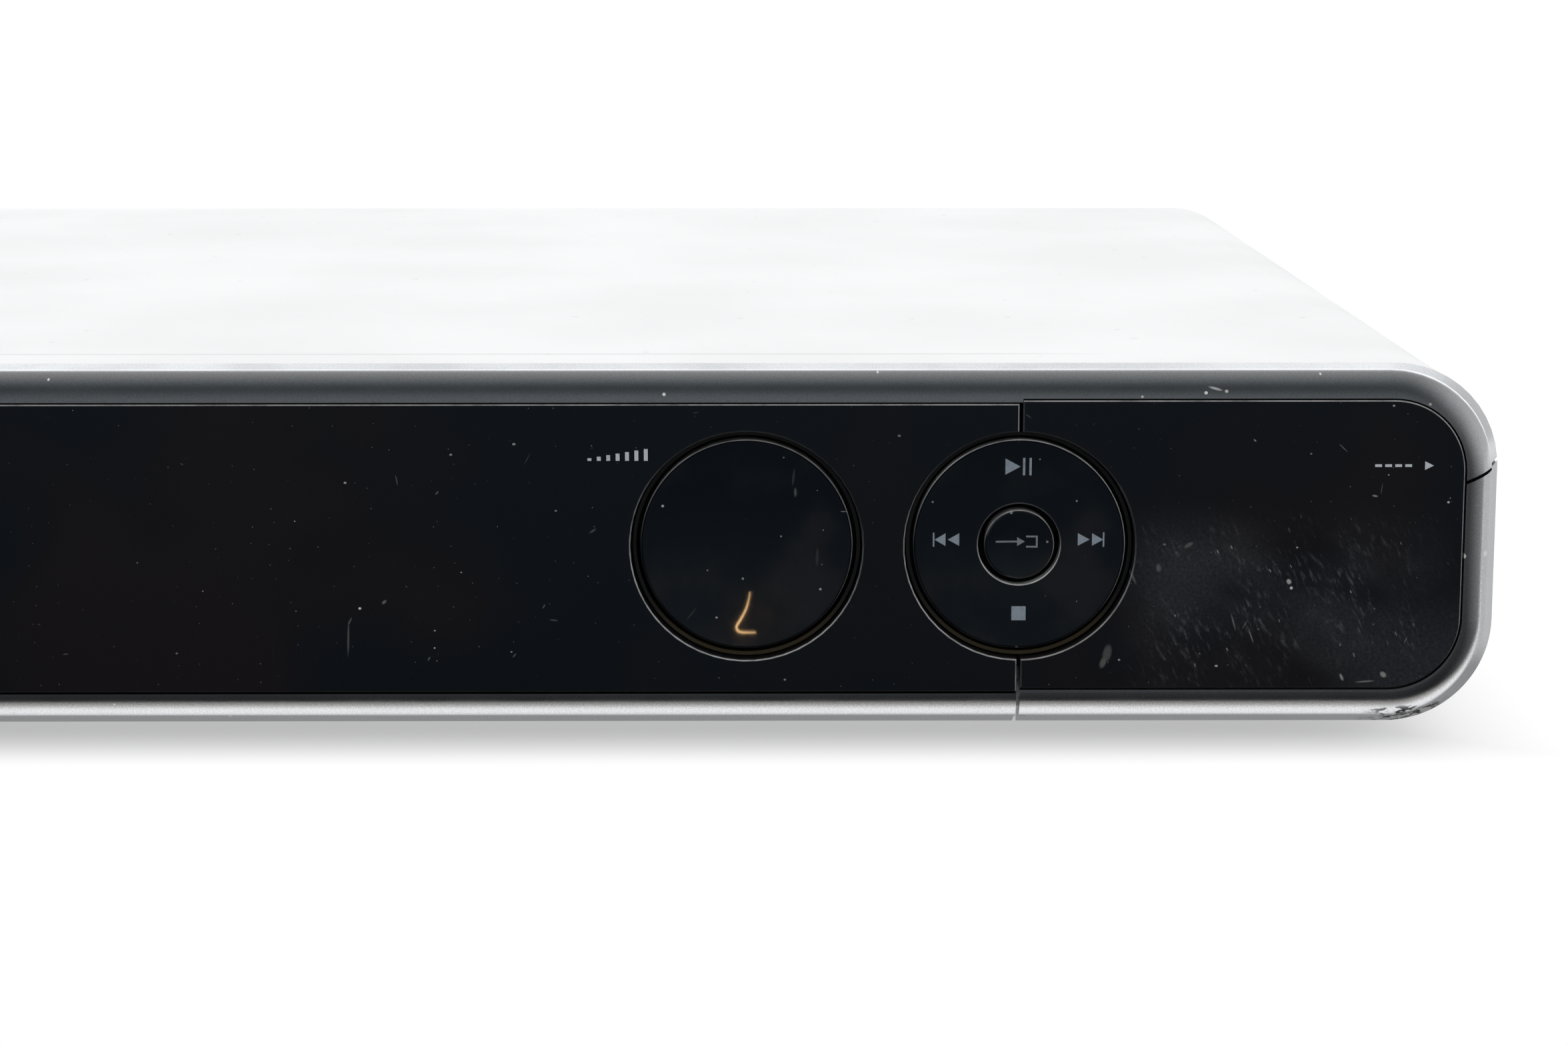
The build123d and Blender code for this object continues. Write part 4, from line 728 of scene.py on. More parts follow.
def polish_disc(name, centre, outer, painted_highlight, inner=None):
    """Gloss black with a painted highlight as a bright line at its outer edge, and another at an inner
    edge.
    """
    black = mix_finish(name, PANEL_BLACK, 0.02)
    place = where(black, shift=(-centre.x, 0, -centre.z))
    height = axis(black, place, "Z")
    radius = distance(black, axis(black, place, "X"), height)
    line_start = ramp(black, radius, outer - LINE_W, outer - LINE_W + LINE_FADE)
    line = times(black, line_start, ramp(black, radius, outer + LINE_FADE, outer))
    # This noise breaks up the painted highlight along the lines.
    wear = ramp(black, grain(black, place, 0.006, 4.0, 0.7), 0.3, 0.62, 0.4, 1.0)
    # Painted light: at an inner hole the line is stronger towards the hole's low side, and at the rim it
    # is stronger where it faces up and right.
    if inner:
        from_hole = sum_up(black, "SUBTRACT", radius, inner)
        line = most(black, line, ramp(black, from_hole, *HOLE_LINE))
        at_hole = ramp(black, from_hole, *HOLE_WALL)
        at_rim = ramp(black, from_hole, *reversed(HOLE_WALL))
        low_side = ramp(black, height, 3.0 * MM, -inner, 0.1, 1.0)
        rim_up = times(black, painted_light_facing(black), at_rim)
        wear = times(black, wear, sum_up(black, "MULTIPLY_ADD", at_hole, low_side, rim_up))
    else:
        wear = times(black, wear, painted_light_facing(black))
    dust = specks(black, where(black, turn=(90, 0, 0)), 0.0058, 0.00026, 0.3)
    hair = where(black, shift=(0.02, 0, 0.01), turn=(90, 0, 78), stretch=(0.12, 1, 1))
    marks = times(black, most(black, dust, specks(black, hair, 0.009, 0.00013, 0.3)), 0.3)
    cloud = ramp(black, grain(black, place, 0.012, 3.0), 0.4, 0.7)
    tone = tint(black, cloud, PANEL_BLACK, (0.0085, 0.0095, 0.0115))
    tone = tint(black, marks, tone, (0.5, 0.5, 0.48))
    # Painted highlight: the edge lines are tinted light grey.
    tone = tint(black, times(black, line, wear), tone, (painted_highlight, painted_highlight, painted_highlight))
    feed_surface(black, "Base Color", tone)
    rough = sum_up(black, "ADD", times(black, line, 0.35), 0.02)
    feed_surface(black, "Roughness", sum_up(black, "ADD", rough, times(black, marks, 0.4)))
    return black


def lay_over(finish, share, colour):
    """Tints what already feeds the base colour."""
    under = finish.node_tree.nodes["Principled BSDF"].inputs["Base Color"].links[0].from_socket
    feed_surface(finish, "Base Color", tint(finish, share, under, colour))


knob_black = polish_disc("knob_black", KNOB_CENTRE, KNOB_R, 0.3)
lay_over(knob_black, lay_flecks(knob_black, 0.0, KNOB_FLECKS), (0.5, 0.5, 0.5))
# A painted warm glow on the knob's lower face, in soft clouds round where the lamp's wire is mirrored.
knob_cloud = grain(knob_black, where(knob_black), 0.003, 3.0)
knob_painted_glow = times(knob_black, lay_flecks(knob_black, 0.0, KNOB_PAINTED_GLOW), knob_cloud)
lay_over(knob_black, knob_painted_glow, (0.62, 0.36, 0.17))
dress(knob_black, "volume_knob")
dress(polish_disc("ring_black", RING_CENTRE, RING_R, 0.5, RING_INNER_R), "control_ring")
dress(polish_disc("middle_black", RING_CENTRE, MIDDLE_R, 0.34), "source_button")
BUTTON_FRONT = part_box("power_button")[0].y
dress(polish_black("button_black", BUTTON_FRONT, PANEL_EDGE), "power_button", "eject_button")


# ---- Dark mouldings behind the front ----------------------------------------------------
# The frame that carries the panel, the well behind the knob and ring, the socket plate and the flap's
# catch are injection moulded. All but the well have the fine spark grain of the tool.
def mould(name, colour, roughness, grain_size=0.0006, relief=0.00003):
    """Moulded plastic with a fine grain and faint flow marks."""
    plastic = mix_finish(name, colour, roughness)
    place = where(plastic)
    fine = grain(plastic, place, grain_size, 2.0)
    flow = grain(plastic, place, 0.03, 2.0)
    feed_surface(plastic, "Base Color", tint(plastic, flow, colour, darker(colour, 0.8)))
    flow_rough = ramp(plastic, flow, 0.3, 0.7, roughness - 0.05, roughness + 0.05)
    feed_surface(plastic, "Roughness", flow_rough)
    raise_bump(plastic, fine, relief, 0.5)
    return plastic


dress(mould("moulded_black", (0.016, 0.016, 0.018), 0.5), "front_frame", "door_catch", "clamp_puck")
dress(mould("moulded_grey", (0.06, 0.062, 0.066), 0.55), "socket_plate", "ring_carrier")

WELL_BLACK = (0.008, 0.008, 0.009)
# Painted light: the well's lower part is tinted a lighter warm brown, more towards the bottom, where its
# wall faces up.
WELL_PAINTED_LIGHT_Z = (KNOB_CENTRE.z - 6.0 * MM, KNOB_CENTRE.z - 16.0 * MM)
well = mix_finish("well_black", WELL_BLACK, 0.4)
well_painted_light = ramp(well, along(well, "Z"), *WELL_PAINTED_LIGHT_Z)
feed_surface(well, "Base Color", tint(well, well_painted_light, WELL_BLACK, (0.036, 0.028, 0.014)))
feed_surface(well, "Roughness", ramp(well, grain(well, where(well), 0.004), 0.3, 0.7, 0.3, 0.5))
dress(well, "control_well")


# ---- Printed marks ----------------------------------------------------------------------
# Pad-printed signs in a cool grey: play and pause, stop, back and forward on the ring, an
# arrow on the flap, and plain signs at the knob, in the middle button and on the left keys.
RING_GREY = (0.195, 0.235, 0.275)
PANEL_GREY = (0.42, 0.45, 0.48)
INPUT_GREY = (0.15, 0.165, 0.18)
MARK_T = 0.015 * MM
RIM_CUT = 0.36 * MM


def mix_ink(name, colour):
    """Printing ink, rubbed thin here and there."""
    ink = mix_finish(name, colour, 0.45)
    wear = ramp(ink, grain(ink, where(ink), 0.0007, 4.0, 0.7), 0.25, 0.5, 0.6, 1.0)
    feed_surface(ink, "Base Color", tint(ink, wear, darker(colour, 0.2), colour))
    return ink


ring_ink = mix_ink("ring_ink", RING_GREY)
panel_ink = mix_ink("panel_ink", PANEL_GREY)
input_ink = mix_ink("input_ink", INPUT_GREY)


def dish_depth(piece_box, dish, radius):
    """How a disc's face lies, from its rim's front to its middle, at a radius."""
    rim = (piece_box[1].x - piece_box[0].x) / 2 - RIM_CUT
    return piece_box[0].y + dish * (1 - (radius / rim) ** 2)


def add_object(mesh, name, finish):
    """Turns a bmesh into an object of the scene with one material."""
    data = bpy.data.meshes.new(name)
    mesh.to_mesh(data)
    mesh.free()
    data.materials.append(finish)
    piece = bpy.data.objects.new(name, data)
    bpy.context.scene.collection.objects.link(piece)
    return piece


def thicken(mesh, shift):
    """Gives flat faces a thickness by moving a copy of them."""
    grown = bmesh.ops.extrude_face_region(mesh, geom=mesh.faces[:])
    for item in grown["geom"]:
        if isinstance(item, bmesh.types.BMVert):
            item.co += Vector(shift)
    bmesh.ops.recalc_face_normals(mesh, faces=mesh.faces[:])


def print_mark(name, body, shapes, face, ink):
    """Prints flat shapes, lists of (x, z) corners in metres, on a face given as y = face(x, z)."""
    sign = bmesh.new()
    for shape in shapes:
        sign.faces.new([sign.verts.new((x, 0.0, z)) for x, z in shape])
    bmesh.ops.triangulate(sign, faces=sign.faces[:])
    bmesh.ops.subdivide_edges(sign, edges=sign.edges[:], cuts=2, use_grid_fill=True)
    for point in sign.verts:
        point.co.y = face(point.co.x, point.co.z) - MARK_T
    thicken(sign, (0.0, 2 * MARK_T, 0.0))
    piece = add_object(sign, name, ink)
    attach(piece, body)


def on_dish(piece_box, dish, x, z):
    centre = mid(piece_box)
    radius = ((x - centre.x) ** 2 + (z - centre.z) ** 2) ** 0.5
    return dish_depth(piece_box, dish, radius)


def on_ring(x, z):
    return on_dish(RING, 0.35 * MM, x, z)


def on_middle(x, z):
    return on_dish(MIDDLE, 0.3 * MM, x, z)


def on_panel(x, z):
    return PANEL_FRONT


def on_button(x, z):
    return BUTTON_FRONT


def arrow_right(x, z, length, height):
    """A solid triangle that points right, from its left side's middle."""
    return [(x, z - height / 2), (x + length, z), (x, z + height / 2)]


def arrow_left(x, z, length, height):
    return [(x, z - height / 2), (x, z + height / 2), (x - length, z)]


def bar(x, z, width, height):
    """An upright rectangle from its middle."""
    left, right = x - width / 2, x + width / 2
    low, high = z - height / 2, z + height / 2
    return [(left, low), (right, low), (right, high), (left, high)]


cx, cz = RING_CENTRE.x, RING_CENTRE.z
PLAY_Z = cz + 12.25 * MM
play_signs = [
    arrow_right(cx - 2.25 * MM, PLAY_Z, 2.35 * MM, 2.55 * MM),
    bar(cx + 0.65 * MM, PLAY_Z, 0.36 * MM, 2.75 * MM),
    bar(cx + 1.65 * MM, PLAY_Z, 0.36 * MM, 2.75 * MM),
]
print_mark("play_pause_mark", "ring", play_signs, on_ring, ring_ink)
stop_signs = [bar(cx + 0.05 * MM, cz - 10.95 * MM, 2.22 * MM, 2.22 * MM)]
print_mark("stop_mark", "ring", stop_signs, on_ring, ring_ink)
SKIP_Z = cz + 0.75 * MM
forward_signs = [
    arrow_right(cx + 9.15 * MM, SKIP_Z, 1.85 * MM, 2.0 * MM),
    arrow_right(cx + 11.35 * MM, SKIP_Z, 1.75 * MM, 2.0 * MM),
    bar(cx + 13.15 * MM, SKIP_Z, 0.24 * MM, 2.3 * MM),
]
print_mark("forward_mark", "ring", forward_signs, on_ring, ring_ink)
back_signs = [
    arrow_left(cx - 9.3 * MM, SKIP_Z, 1.8 * MM, 2.0 * MM),
    arrow_left(cx - 11.45 * MM, SKIP_Z, 1.7 * MM, 2.0 * MM),
    bar(cx - 13.3 * MM, SKIP_Z, 0.24 * MM, 2.2 * MM),
]
print_mark("back_mark", "ring", back_signs, on_ring, ring_ink)

INPUT_Z = cz + 0.45 * MM
input_signs = [
    bar(cx - 1.95 * MM, INPUT_Z, 3.4 * MM, 0.28 * MM),
    arrow_right(cx - 0.3 * MM, INPUT_Z, 1.2 * MM, 1.4 * MM),
    bar(cx + 2.75 * MM, INPUT_Z, 0.28 * MM, 1.9 * MM),
    bar(cx + 1.85 * MM, INPUT_Z + 0.81 * MM, 1.5 * MM, 0.28 * MM),
    bar(cx + 1.85 * MM, INPUT_Z - 0.81 * MM, 1.5 * MM, 0.28 * MM),
]
print_mark("input_mark", "middle_button", input_signs, on_middle, input_ink)

LEVEL_X = 75.4 * MM
LEVEL_Z = 49.5 * MM
level_signs = []
for i in range(7):
    tall = (0.4 + 0.24 * i) * MM
    level_signs.append(bar(LEVEL_X + 1.45 * MM * i, LEVEL_Z + tall / 2, 0.6 * MM, tall))
print_mark("level_mark", "case", level_signs, on_panel, panel_ink)

OPEN_X = 197.3 * MM
OPEN_Z = 48.65 * MM
open_signs = [arrow_right(204.5 * MM, OPEN_Z, 1.35 * MM, 1.35 * MM)]
for i in range(4):
    open_signs.append(bar(OPEN_X + 1.55 * MM * i, OPEN_Z, 1.05 * MM, 0.42 * MM))
print_mark("flap_arrow_mark", "flap", open_signs, on_panel, panel_ink)

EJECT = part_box("eject_button")
ex, ez = mid(EJECT).x, mid(EJECT).z
eject_signs = [
    [(ex - 1.3 * MM, ez - 0.1 * MM), (ex + 1.3 * MM, ez - 0.1 * MM), (ex, ez + 1.3 * MM)],
    bar(ex, ez - 0.85 * MM, 2.6 * MM, 0.5 * MM),
]
print_mark("eject_mark", "eject_key", eject_signs, on_button, panel_ink)

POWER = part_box("power_button")
POWER_STEPS = 14
POWER_FROM = 120
POWER_TURN = 21.5
POWER_OUT = 1.45 * MM
POWER_IN = 1.13 * MM
px, pz = mid(POWER).x, mid(POWER).z
power_signs = [bar(px, pz + 1.0 * MM, 0.32 * MM, 1.5 * MM)]
for i in range(POWER_STEPS):
    start = radians(POWER_FROM + POWER_TURN * i)
    end = radians(POWER_FROM + POWER_TURN * (i + 1))
    corners = []
    for turn, reach in ((start, POWER_OUT), (end, POWER_OUT), (end, POWER_IN), (start, POWER_IN)):
        tip = Vector((reach, 0.0)) @ Matrix.Rotation(turn, 2)
        corners.append((px + tip.x, pz - tip.y))
    power_signs.append(corners)
print_mark("power_mark", "power_key", power_signs, on_button, panel_ink)


# ---- Sheet metal and screws -------------------------------------------------------------
# The base pan and back panel are zinc-plated steel, seen as faint crystals under a satin
# sheen with handling rubs. Zinc-plated cross-head screws hold the cover and the inner units.
ZINC = (0.50, 0.51, 0.525)
ZINC_BACK = (0.56, 0.57, 0.585)
SCREW_ZINC = (0.60, 0.61, 0.60)


def plate_zinc(name, colour, crystal, roughness):
    """Zinc-plated steel sheet with crystals of a given width."""
    zinc = mix_finish(name, colour, roughness, metallic=0.9)
    place = where(zinc)
    feeds = {"Vector": place, "Scale": 1.0 / crystal}
    crystals = add_node(zinc, "ShaderNodeTexVoronoi", feeds).outputs["Color"]
    tone = tint(zinc, axis(zinc, crystals, "X"), colour, darker(colour, 0.86))
    rolled = grain(zinc, where(zinc, stretch=(0.05, 1, 1)), 0.0006, 2.0)
    tone = tint(zinc, ramp(zinc, rolled, 0.45, 0.75, 0.0, 0.35), tone, darker(colour, 0.74))
    smears = ramp(zinc, grain(zinc, place, 0.035, 4.0, 0.6), 0.35, 0.7)
    feed_surface(zinc, "Base Color", tint(zinc, smears, tone, darker(colour, 0.93)))
    smear_rough = ramp(zinc, smears, 0.0, 1.0, roughness - 0.06, roughness + 0.08)
    feed_surface(zinc, "Roughness", smear_rough)
    raise_bump(zinc, rolled, 0.00002, 0.4)
    return zinc


dress(plate_zinc("pan_zinc", ZINC, 0.007, 0.4), "base_pan")
dress(plate_zinc("back_zinc", ZINC_BACK, 0.0045, 0.42), "rear_panel")


def turn_steel(name, colour, roughness, lines=0.0004):
    """Turned or drawn metal with fine tool lines and oily smudges."""
    steel = mix_finish(name, colour, roughness, metallic=1.0)
    tool = grain(steel, where(steel, stretch=(1, 0.15, 1)), lines, 2.0)
    smudge = grain(steel, where(steel), 0.006, 3.0)
    tone = tint(steel, ramp(steel, tool, 0.35, 0.7), colour, darker(colour, 0.82))
    feed_surface(steel, "Base Color", tone)
    smudge_rough = ramp(steel, smudge, 0.3, 0.7, 0.8 * roughness, 1.3 * roughness)
    feed_surface(steel, "Roughness", smudge_rough)
    raise_bump(steel, tool, 0.00001, 0.4)
    return steel


dress(turn_steel("screw_zinc", SCREW_ZINC, 0.3), "case_screws")


# ---- Feet and belt ----------------------------------------------------------------------
# Black rubber, dull, with a fine moulded skin that holds pale dust.
RUBBER = (0.018, 0.018, 0.019)


def mould_rubber(name, dust_share):
    rubber = mix_finish(name, RUBBER, 0.72)
    place = where(rubber)
    dust = ramp(rubber, grain(rubber, place, 0.003, 5.0, 0.7), 0.45, 0.8, 0.0, dust_share)
    feed_surface(rubber, "Base Color", tint(rubber, dust, RUBBER, (0.22, 0.21, 0.19)))
    feed_surface(rubber, "Roughness", ramp(rubber, dust, 0.0, dust_share, 0.65, 0.9))
    raise_bump(rubber, grain(rubber, place, 0.0005, 2.0), 0.00003, 0.6)
    return rubber


dress(mould_rubber("foot_rubber", 0.35), "feet")
dress(mould_rubber("belt_rubber", 0.1), "loading_belt")


# ---- Back connectors --------------------------------------------------------------------
# Moulded blocks behind the back panel: the mains inlet with two steel pins, spring clips for
# the speakers in red and black, phono jacks with coloured rings, and two shielded sockets.
CLIP_RED = (0.42, 0.012, 0.012)
CLIP_BLACK = (0.02, 0.02, 0.022)
SPEAKER_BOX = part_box("speaker_terminals")
SPEAKER_PAIRS = 5
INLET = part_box("power_inlet")
PIN_X = 4.3 * MM
PIN_DEPTH_Y = 141.0 * MM
CLIP_FACE_Y = 151.15 * MM
JACK_FACE_Y = 148.55 * MM
TUNER_FACE_Y = 147.5 * MM
NICKEL = (0.63, 0.62, 0.58)


def near(finish, value, middle, half):
    """1 where a value lies within half of the middle, 0 elsewhere."""
    gap = sum_up(finish, "ABSOLUTE", sum_up(finish, "SUBTRACT", value, middle))
    return sum_up(finish, "LESS_THAN", gap, half)


def band(finish, letter, middle, half):
    """1 where the object's X, Y or Z lies within half of the middle, 0 elsewhere."""
    return near(finish, along(finish, letter), middle, half)


def beyond(finish, letter, limit):
    return sum_up(finish, "GREATER_THAN", along(finish, letter), limit)


def add_metal(plastic, mask, colour, roughness):
    """Turns part of a moulded material into metal, for pins and shells cast into it."""
    lay_over(plastic, mask, colour)
    feed_surface(plastic, "Metallic", ramp(plastic, mask, 0.0, 1.0))
    dull = plastic.node_tree.nodes["Principled BSDF"].inputs["Roughness"].links[0].from_socket
    blend = add_node(plastic, "ShaderNodeMix", {0: mask, 2: dull, 3: roughness})
    feed_surface(plastic, "Roughness", blend.outputs[0])


clips = mould("terminal_grey", (0.045, 0.046, 0.05), 0.5)
clip_step = (SPEAKER_BOX[1].x - SPEAKER_BOX[0].x) / SPEAKER_PAIRS
clip_x = sum_up(clips, "SUBTRACT", along(clips, "X"), SPEAKER_BOX[0].x)
clip_red = sum_up(clips, "GREATER_THAN", sum_up(clips, "MODULO", clip_x, clip_step), clip_step / 2)
lay_over(clips, beyond(clips, "Y", CLIP_FACE_Y), tint(clips, clip_red, CLIP_BLACK, CLIP_RED))
dress(clips, "speaker_terminals")

inlet = mould("inlet_black", (0.014, 0.014, 0.015), 0.42)
inlet_x = sum_up(inlet, "SUBTRACT", along(inlet, "X"), mid(INLET).x)
inlet_pins = times(
    inlet,
    near(inlet, sum_up(inlet, "ABSOLUTE", inlet_x), PIN_X, 1.3 * MM),
    band(inlet, "Z", mid(INLET).z, 1.25 * MM),
    band(inlet, "Y", PIN_DEPTH_Y, 6.05 * MM),
)
add_metal(inlet, inlet_pins, NICKEL, 0.22)
dress(inlet, "power_inlet")

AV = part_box("av_jacks")
PHONO_FIRST_X = AV[0].x + 7.0 * MM
PHONO_PITCH = 12.3 * MM
PHONO_LOW_Z = AV[0].z + 6.0 * MM
PHONO_RISE = 12.0 * MM
jacks = mould("jack_black", (0.016, 0.016, 0.017), 0.45)
add_metal(jacks, beyond(jacks, "Y", JACK_FACE_Y), NICKEL, 0.2)
dress(jacks, "av_jacks")

RING_COLOURS = {
    "white": (0.78, 0.78, 0.76),
    "red": (0.55, 0.02, 0.015),
    "yellow": (0.80, 0.52, 0.02),
    "green": (0.02, 0.30, 0.06),
    "blue": (0.02, 0.06, 0.42),
    "orange": (0.75, 0.20, 0.01),
}
PHONO_ROWS = (("red", "red", "blue", "orange"), ("white", "white", "green", "yellow"))
PHONO_RING_R = 5.2 * MM
PHONO_SHELL_R = 4.25 * MM
PHONO_RING_BACK = AV[0].y + 15.45 * MM
PHONO_RING_T = 1.3 * MM


def phono_ring(name, x, z, colour):
    """A coloured collar round a phono jack, made as a flat ring with rounded edges."""
    collar = bmesh.new()
    for radius in (PHONO_RING_R, PHONO_SHELL_R):
        bmesh.ops.create_circle(collar, segments=40, radius=radius)
    bmesh.ops.bridge_loops(collar, edges=collar.edges[:])
    thicken(collar, (0.0, 0.0, PHONO_RING_T))
    corners = [e for e in collar.edges if len(e.link_faces) == 2 and e.calc_face_angle() > 1.0]
    bmesh.ops.bevel(
        collar, geom=corners, offset=0.12 * MM, segments=2, profile=0.5, affect="EDGES", material=-1
    )
    bmesh.ops.rotate(collar, verts=collar.verts, matrix=Matrix.Rotation(radians(-90), 3, "X"))
    bmesh.ops.translate(collar, verts=collar.verts, vec=(x, PHONO_RING_BACK, z))
    ring = add_object(collar, name, phono_plastics[colour])
    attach(ring, "case")


phono_plastics = {}
for ring_name, ring_colour in RING_COLOURS.items():
    phono_plastics[ring_name] = mould("collar_" + ring_name, ring_colour, 0.38)
for row, ring_names in enumerate(PHONO_ROWS):
    for column, ring_name in enumerate(ring_names):
        ring_x = PHONO_FIRST_X + column * PHONO_PITCH
        ring_z = PHONO_LOW_Z + row * PHONO_RISE
        phono_ring("phono_collar_%d_%d" % (row, column), ring_x, ring_z, ring_name)

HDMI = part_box("hdmi_socket")
hdmi = mould("shielded_shell", (0.02, 0.02, 0.021), 0.45)
hdmi_tongue = times(
    hdmi,
    band(hdmi, "X", mid(HDMI).x, 5.65 * MM),
    band(hdmi, "Z", mid(HDMI).z + 0.2 * MM, 0.75 * MM),
)
add_metal(hdmi, sum_up(hdmi, "SUBTRACT", 1.0, hdmi_tongue), NICKEL, 0.28)
dress(hdmi, "hdmi_socket")

tuner = mould("tuner_white", (0.66, 0.66, 0.63), 0.5)
add_metal(tuner, beyond(tuner, "Y", TUNER_FACE_Y), NICKEL, 0.2)
dress(tuner, "tuner_jack")

# Thin printed frames gather the connectors into groups on the back panel.
BACK_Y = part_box("rear_panel")[1].y
FRAME_LINE = 0.35 * MM
FRAME_MARGIN = 2.6 * MM
frame_ink = mix_ink("frame_ink", (0.03, 0.03, 0.033))


def print_back_frame(name, box):
    """Four thin bars on the back panel round a connector's box."""
    left, right = box[0].x - FRAME_MARGIN, box[1].x + FRAME_MARGIN
    low, high = box[0].z - FRAME_MARGIN, box[1].z + FRAME_MARGIN
    sides = [bar(mid(box).x, level, right - left, FRAME_LINE) for level in (low, high)]
    sides += [bar(side, mid(box).z, FRAME_LINE, high - low) for side in (left, right)]
    print_mark(name, "case", sides, lambda x, z: BACK_Y, frame_ink)


print_back_frame("speaker_frame_mark", SPEAKER_BOX)
print_back_frame("phono_frame_mark", AV)
print_back_frame("inlet_frame_mark", INLET)


# ---- Front sockets ----------------------------------------------------------------------
# Behind the flap: a USB socket in a nickel shell with gold contacts under its tongue, and two
# 3.5 mm jacks with a metal ring. The knob's encoder and the small push switches sit further in.
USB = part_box("usb_socket")
USB_CAVITY_Y = USB[1].y - 2.9 * MM
BRASS = (0.71, 0.52, 0.22)

usb = mould("usb_tongue", (0.018, 0.018, 0.02), 0.45)
usb_tongue = times(
    usb,
    band(usb, "X", mid(USB).x, 5.7 * MM),
    band(usb, "Z", mid(USB).z + 1.1 * MM, 1.0 * MM),
    sum_up(usb, "LESS_THAN", along(usb, "Y"), USB_CAVITY_Y),
)
add_metal(usb, sum_up(usb, "SUBTRACT", 1.0, usb_tongue), NICKEL, 0.25)
dress(usb, "usb_socket")

USB_PIN_W = 1.1 * MM
USB_PIN_L = 7.0 * MM
USB_PIN_T = 0.06 * MM
USB_PIN_CUT = 0.02 * MM
usb_pins = bmesh.new()
for offset in (-3.5, -1.0, 1.0, 3.5):
    pin = bmesh.ops.create_cube(usb_pins, size=1.0)["verts"]
    bmesh.ops.scale(usb_pins, vec=(USB_PIN_W, USB_PIN_L, USB_PIN_T), verts=pin)
    middle = (mid(USB).x + offset * MM, USB[0].y + 5.2 * MM, mid(USB).z + 0.19 * MM)
    bmesh.ops.translate(usb_pins, vec=middle, verts=pin)
bmesh.ops.bevel(
    usb_pins,
    geom=usb_pins.edges[:],
    offset=USB_PIN_CUT,
    segments=1,
    profile=0.5,
    affect="EDGES",
    material=-1,
)
usb_contacts = add_object(usb_pins, "usb_contacts", turn_steel("contact_gold", BRASS, 0.22))
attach(usb_contacts, "case")

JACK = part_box("jack_sockets")
JACK_R = 2.75 * MM
mini_jacks = mould("jack_body", (0.015, 0.015, 0.016), 0.4)
jack_mask = 0.0
for jack_x in (JACK[0].x + 4.5 * MM, JACK[1].x - 4.5 * MM):
    side = sum_up(mini_jacks, "SUBTRACT", along(mini_jacks, "X"), jack_x)
    rise = sum_up(mini_jacks, "SUBTRACT", along(mini_jacks, "Z"), mid(JACK).z)
    jack_disc = sum_up(mini_jacks, "LESS_THAN", distance(mini_jacks, rise, side), JACK_R)
    jack_mask = most(mini_jacks, jack_disc, jack_mask)
add_metal(mini_jacks, jack_mask, NICKEL, 0.24)
dress(mini_jacks, "jack_sockets")

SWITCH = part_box("tact_switches")
switch = mould("switch_black", (0.015, 0.015, 0.016), 0.45)
add_metal(switch, beyond(switch, "Y", SWITCH[0].y + 0.65 * MM), NICKEL, 0.35)
dress(switch, "tact_switches")
dress(turn_steel("encoder_can", (0.55, 0.55, 0.53), 0.34), "volume_encoder")

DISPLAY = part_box("display_module")
DISPLAY_HALF_W = 35.5 * MM
DISPLAY_HALF_H = 9.8 * MM
display = mix_finish("display_glass", (0.012, 0.020, 0.018), 0.06, coat=0.6)
display_window = sum_up(
    display,
    "MINIMUM",
    band(display, "X", mid(DISPLAY).x, DISPLAY_HALF_W),
    band(display, "Z", mid(DISPLAY).z, DISPLAY_HALF_H),
)
display_grid = grain(display, where(display), 0.0009, 1.0)
display_tone = tint(display, display_grid, (0.012, 0.022, 0.019), (0.02, 0.03, 0.026))
display_tone = tint(display, display_window, (0.05, 0.05, 0.052), display_tone)
feed_surface(display, "Base Color", display_tone)
feed_surface(display, "Roughness", ramp(display, display_window, 0.0, 1.0, 0.45, 0.06))
dress(display, "display_module")


# ---- Disc tray and loader ---------------------------------------------------------------
# The tray and the loader that it slides in are moulded in black and dark grey; gears are
# white acetal with a film of grease, and the clamp bridge and cam are glass-filled grey.
TRAY_GREY = (0.035, 0.036, 0.039)
tray = mould("tray_grey", TRAY_GREY, 0.42, 0.0005, 0.00002)
tray_swirl = short_scratches(tray, 0, 0.006, 0.0001, 0.3)
tray_flat = specks(tray, where(tray, turn=(0, 0, 33), stretch=(0.1, 1, 1)), 0.008, 0.00016, 0.3)
lay_over(tray, times(tray, most(tray, tray_flat, tray_swirl), 0.16), (0.3, 0.3, 0.3))
dress(tray, "disc_tray")
dress(mould("loader_black", (0.020, 0.020, 0.022), 0.52), "loader_frame")
dress(mould("bridge_grey", (0.09, 0.092, 0.096), 0.5), "clamp_bridge", "lift_cam")
dress(mould("traverse_black", (0.026, 0.026, 0.028), 0.48), "traverse_frame")

ACETAL = (0.72, 0.71, 0.66)


def cut_gear(name, colour):
    """White acetal with a thin yellowish film of grease."""
    acetal = mould(name, colour, 0.36, 0.0012, 0.00001)
    grease = ramp(acetal, grain(acetal, where(acetal), 0.005, 3.0), 0.5, 0.72, 0.0, 0.3)
    lay_over(acetal, grease, (0.42, 0.36, 0.2))
    return acetal


dress(cut_gear("gear_white", ACETAL), "tray_drive_gear", "pulley_gear")
dress(cut_gear("motor_pulley_white", (0.6, 0.59, 0.55)), "motor_pulley")


# ---- Motors, rods and pickup ------------------------------------------------------------
# Drawn nickel-plated motor cans, ground rods, a rolled lead screw, and the die-cast sled with
# its lens in a black holder. The turntable has a rubber ring round its hub.
motor_nickel = turn_steel("motor_nickel", (0.60, 0.59, 0.56), 0.26)
dress(motor_nickel, "loading_motor", "sled_motor", "spindle_motor")
dress(turn_steel("rod_ground", (0.68, 0.68, 0.68), 0.12, 0.0002), "guide_rods", "hinge_pins")

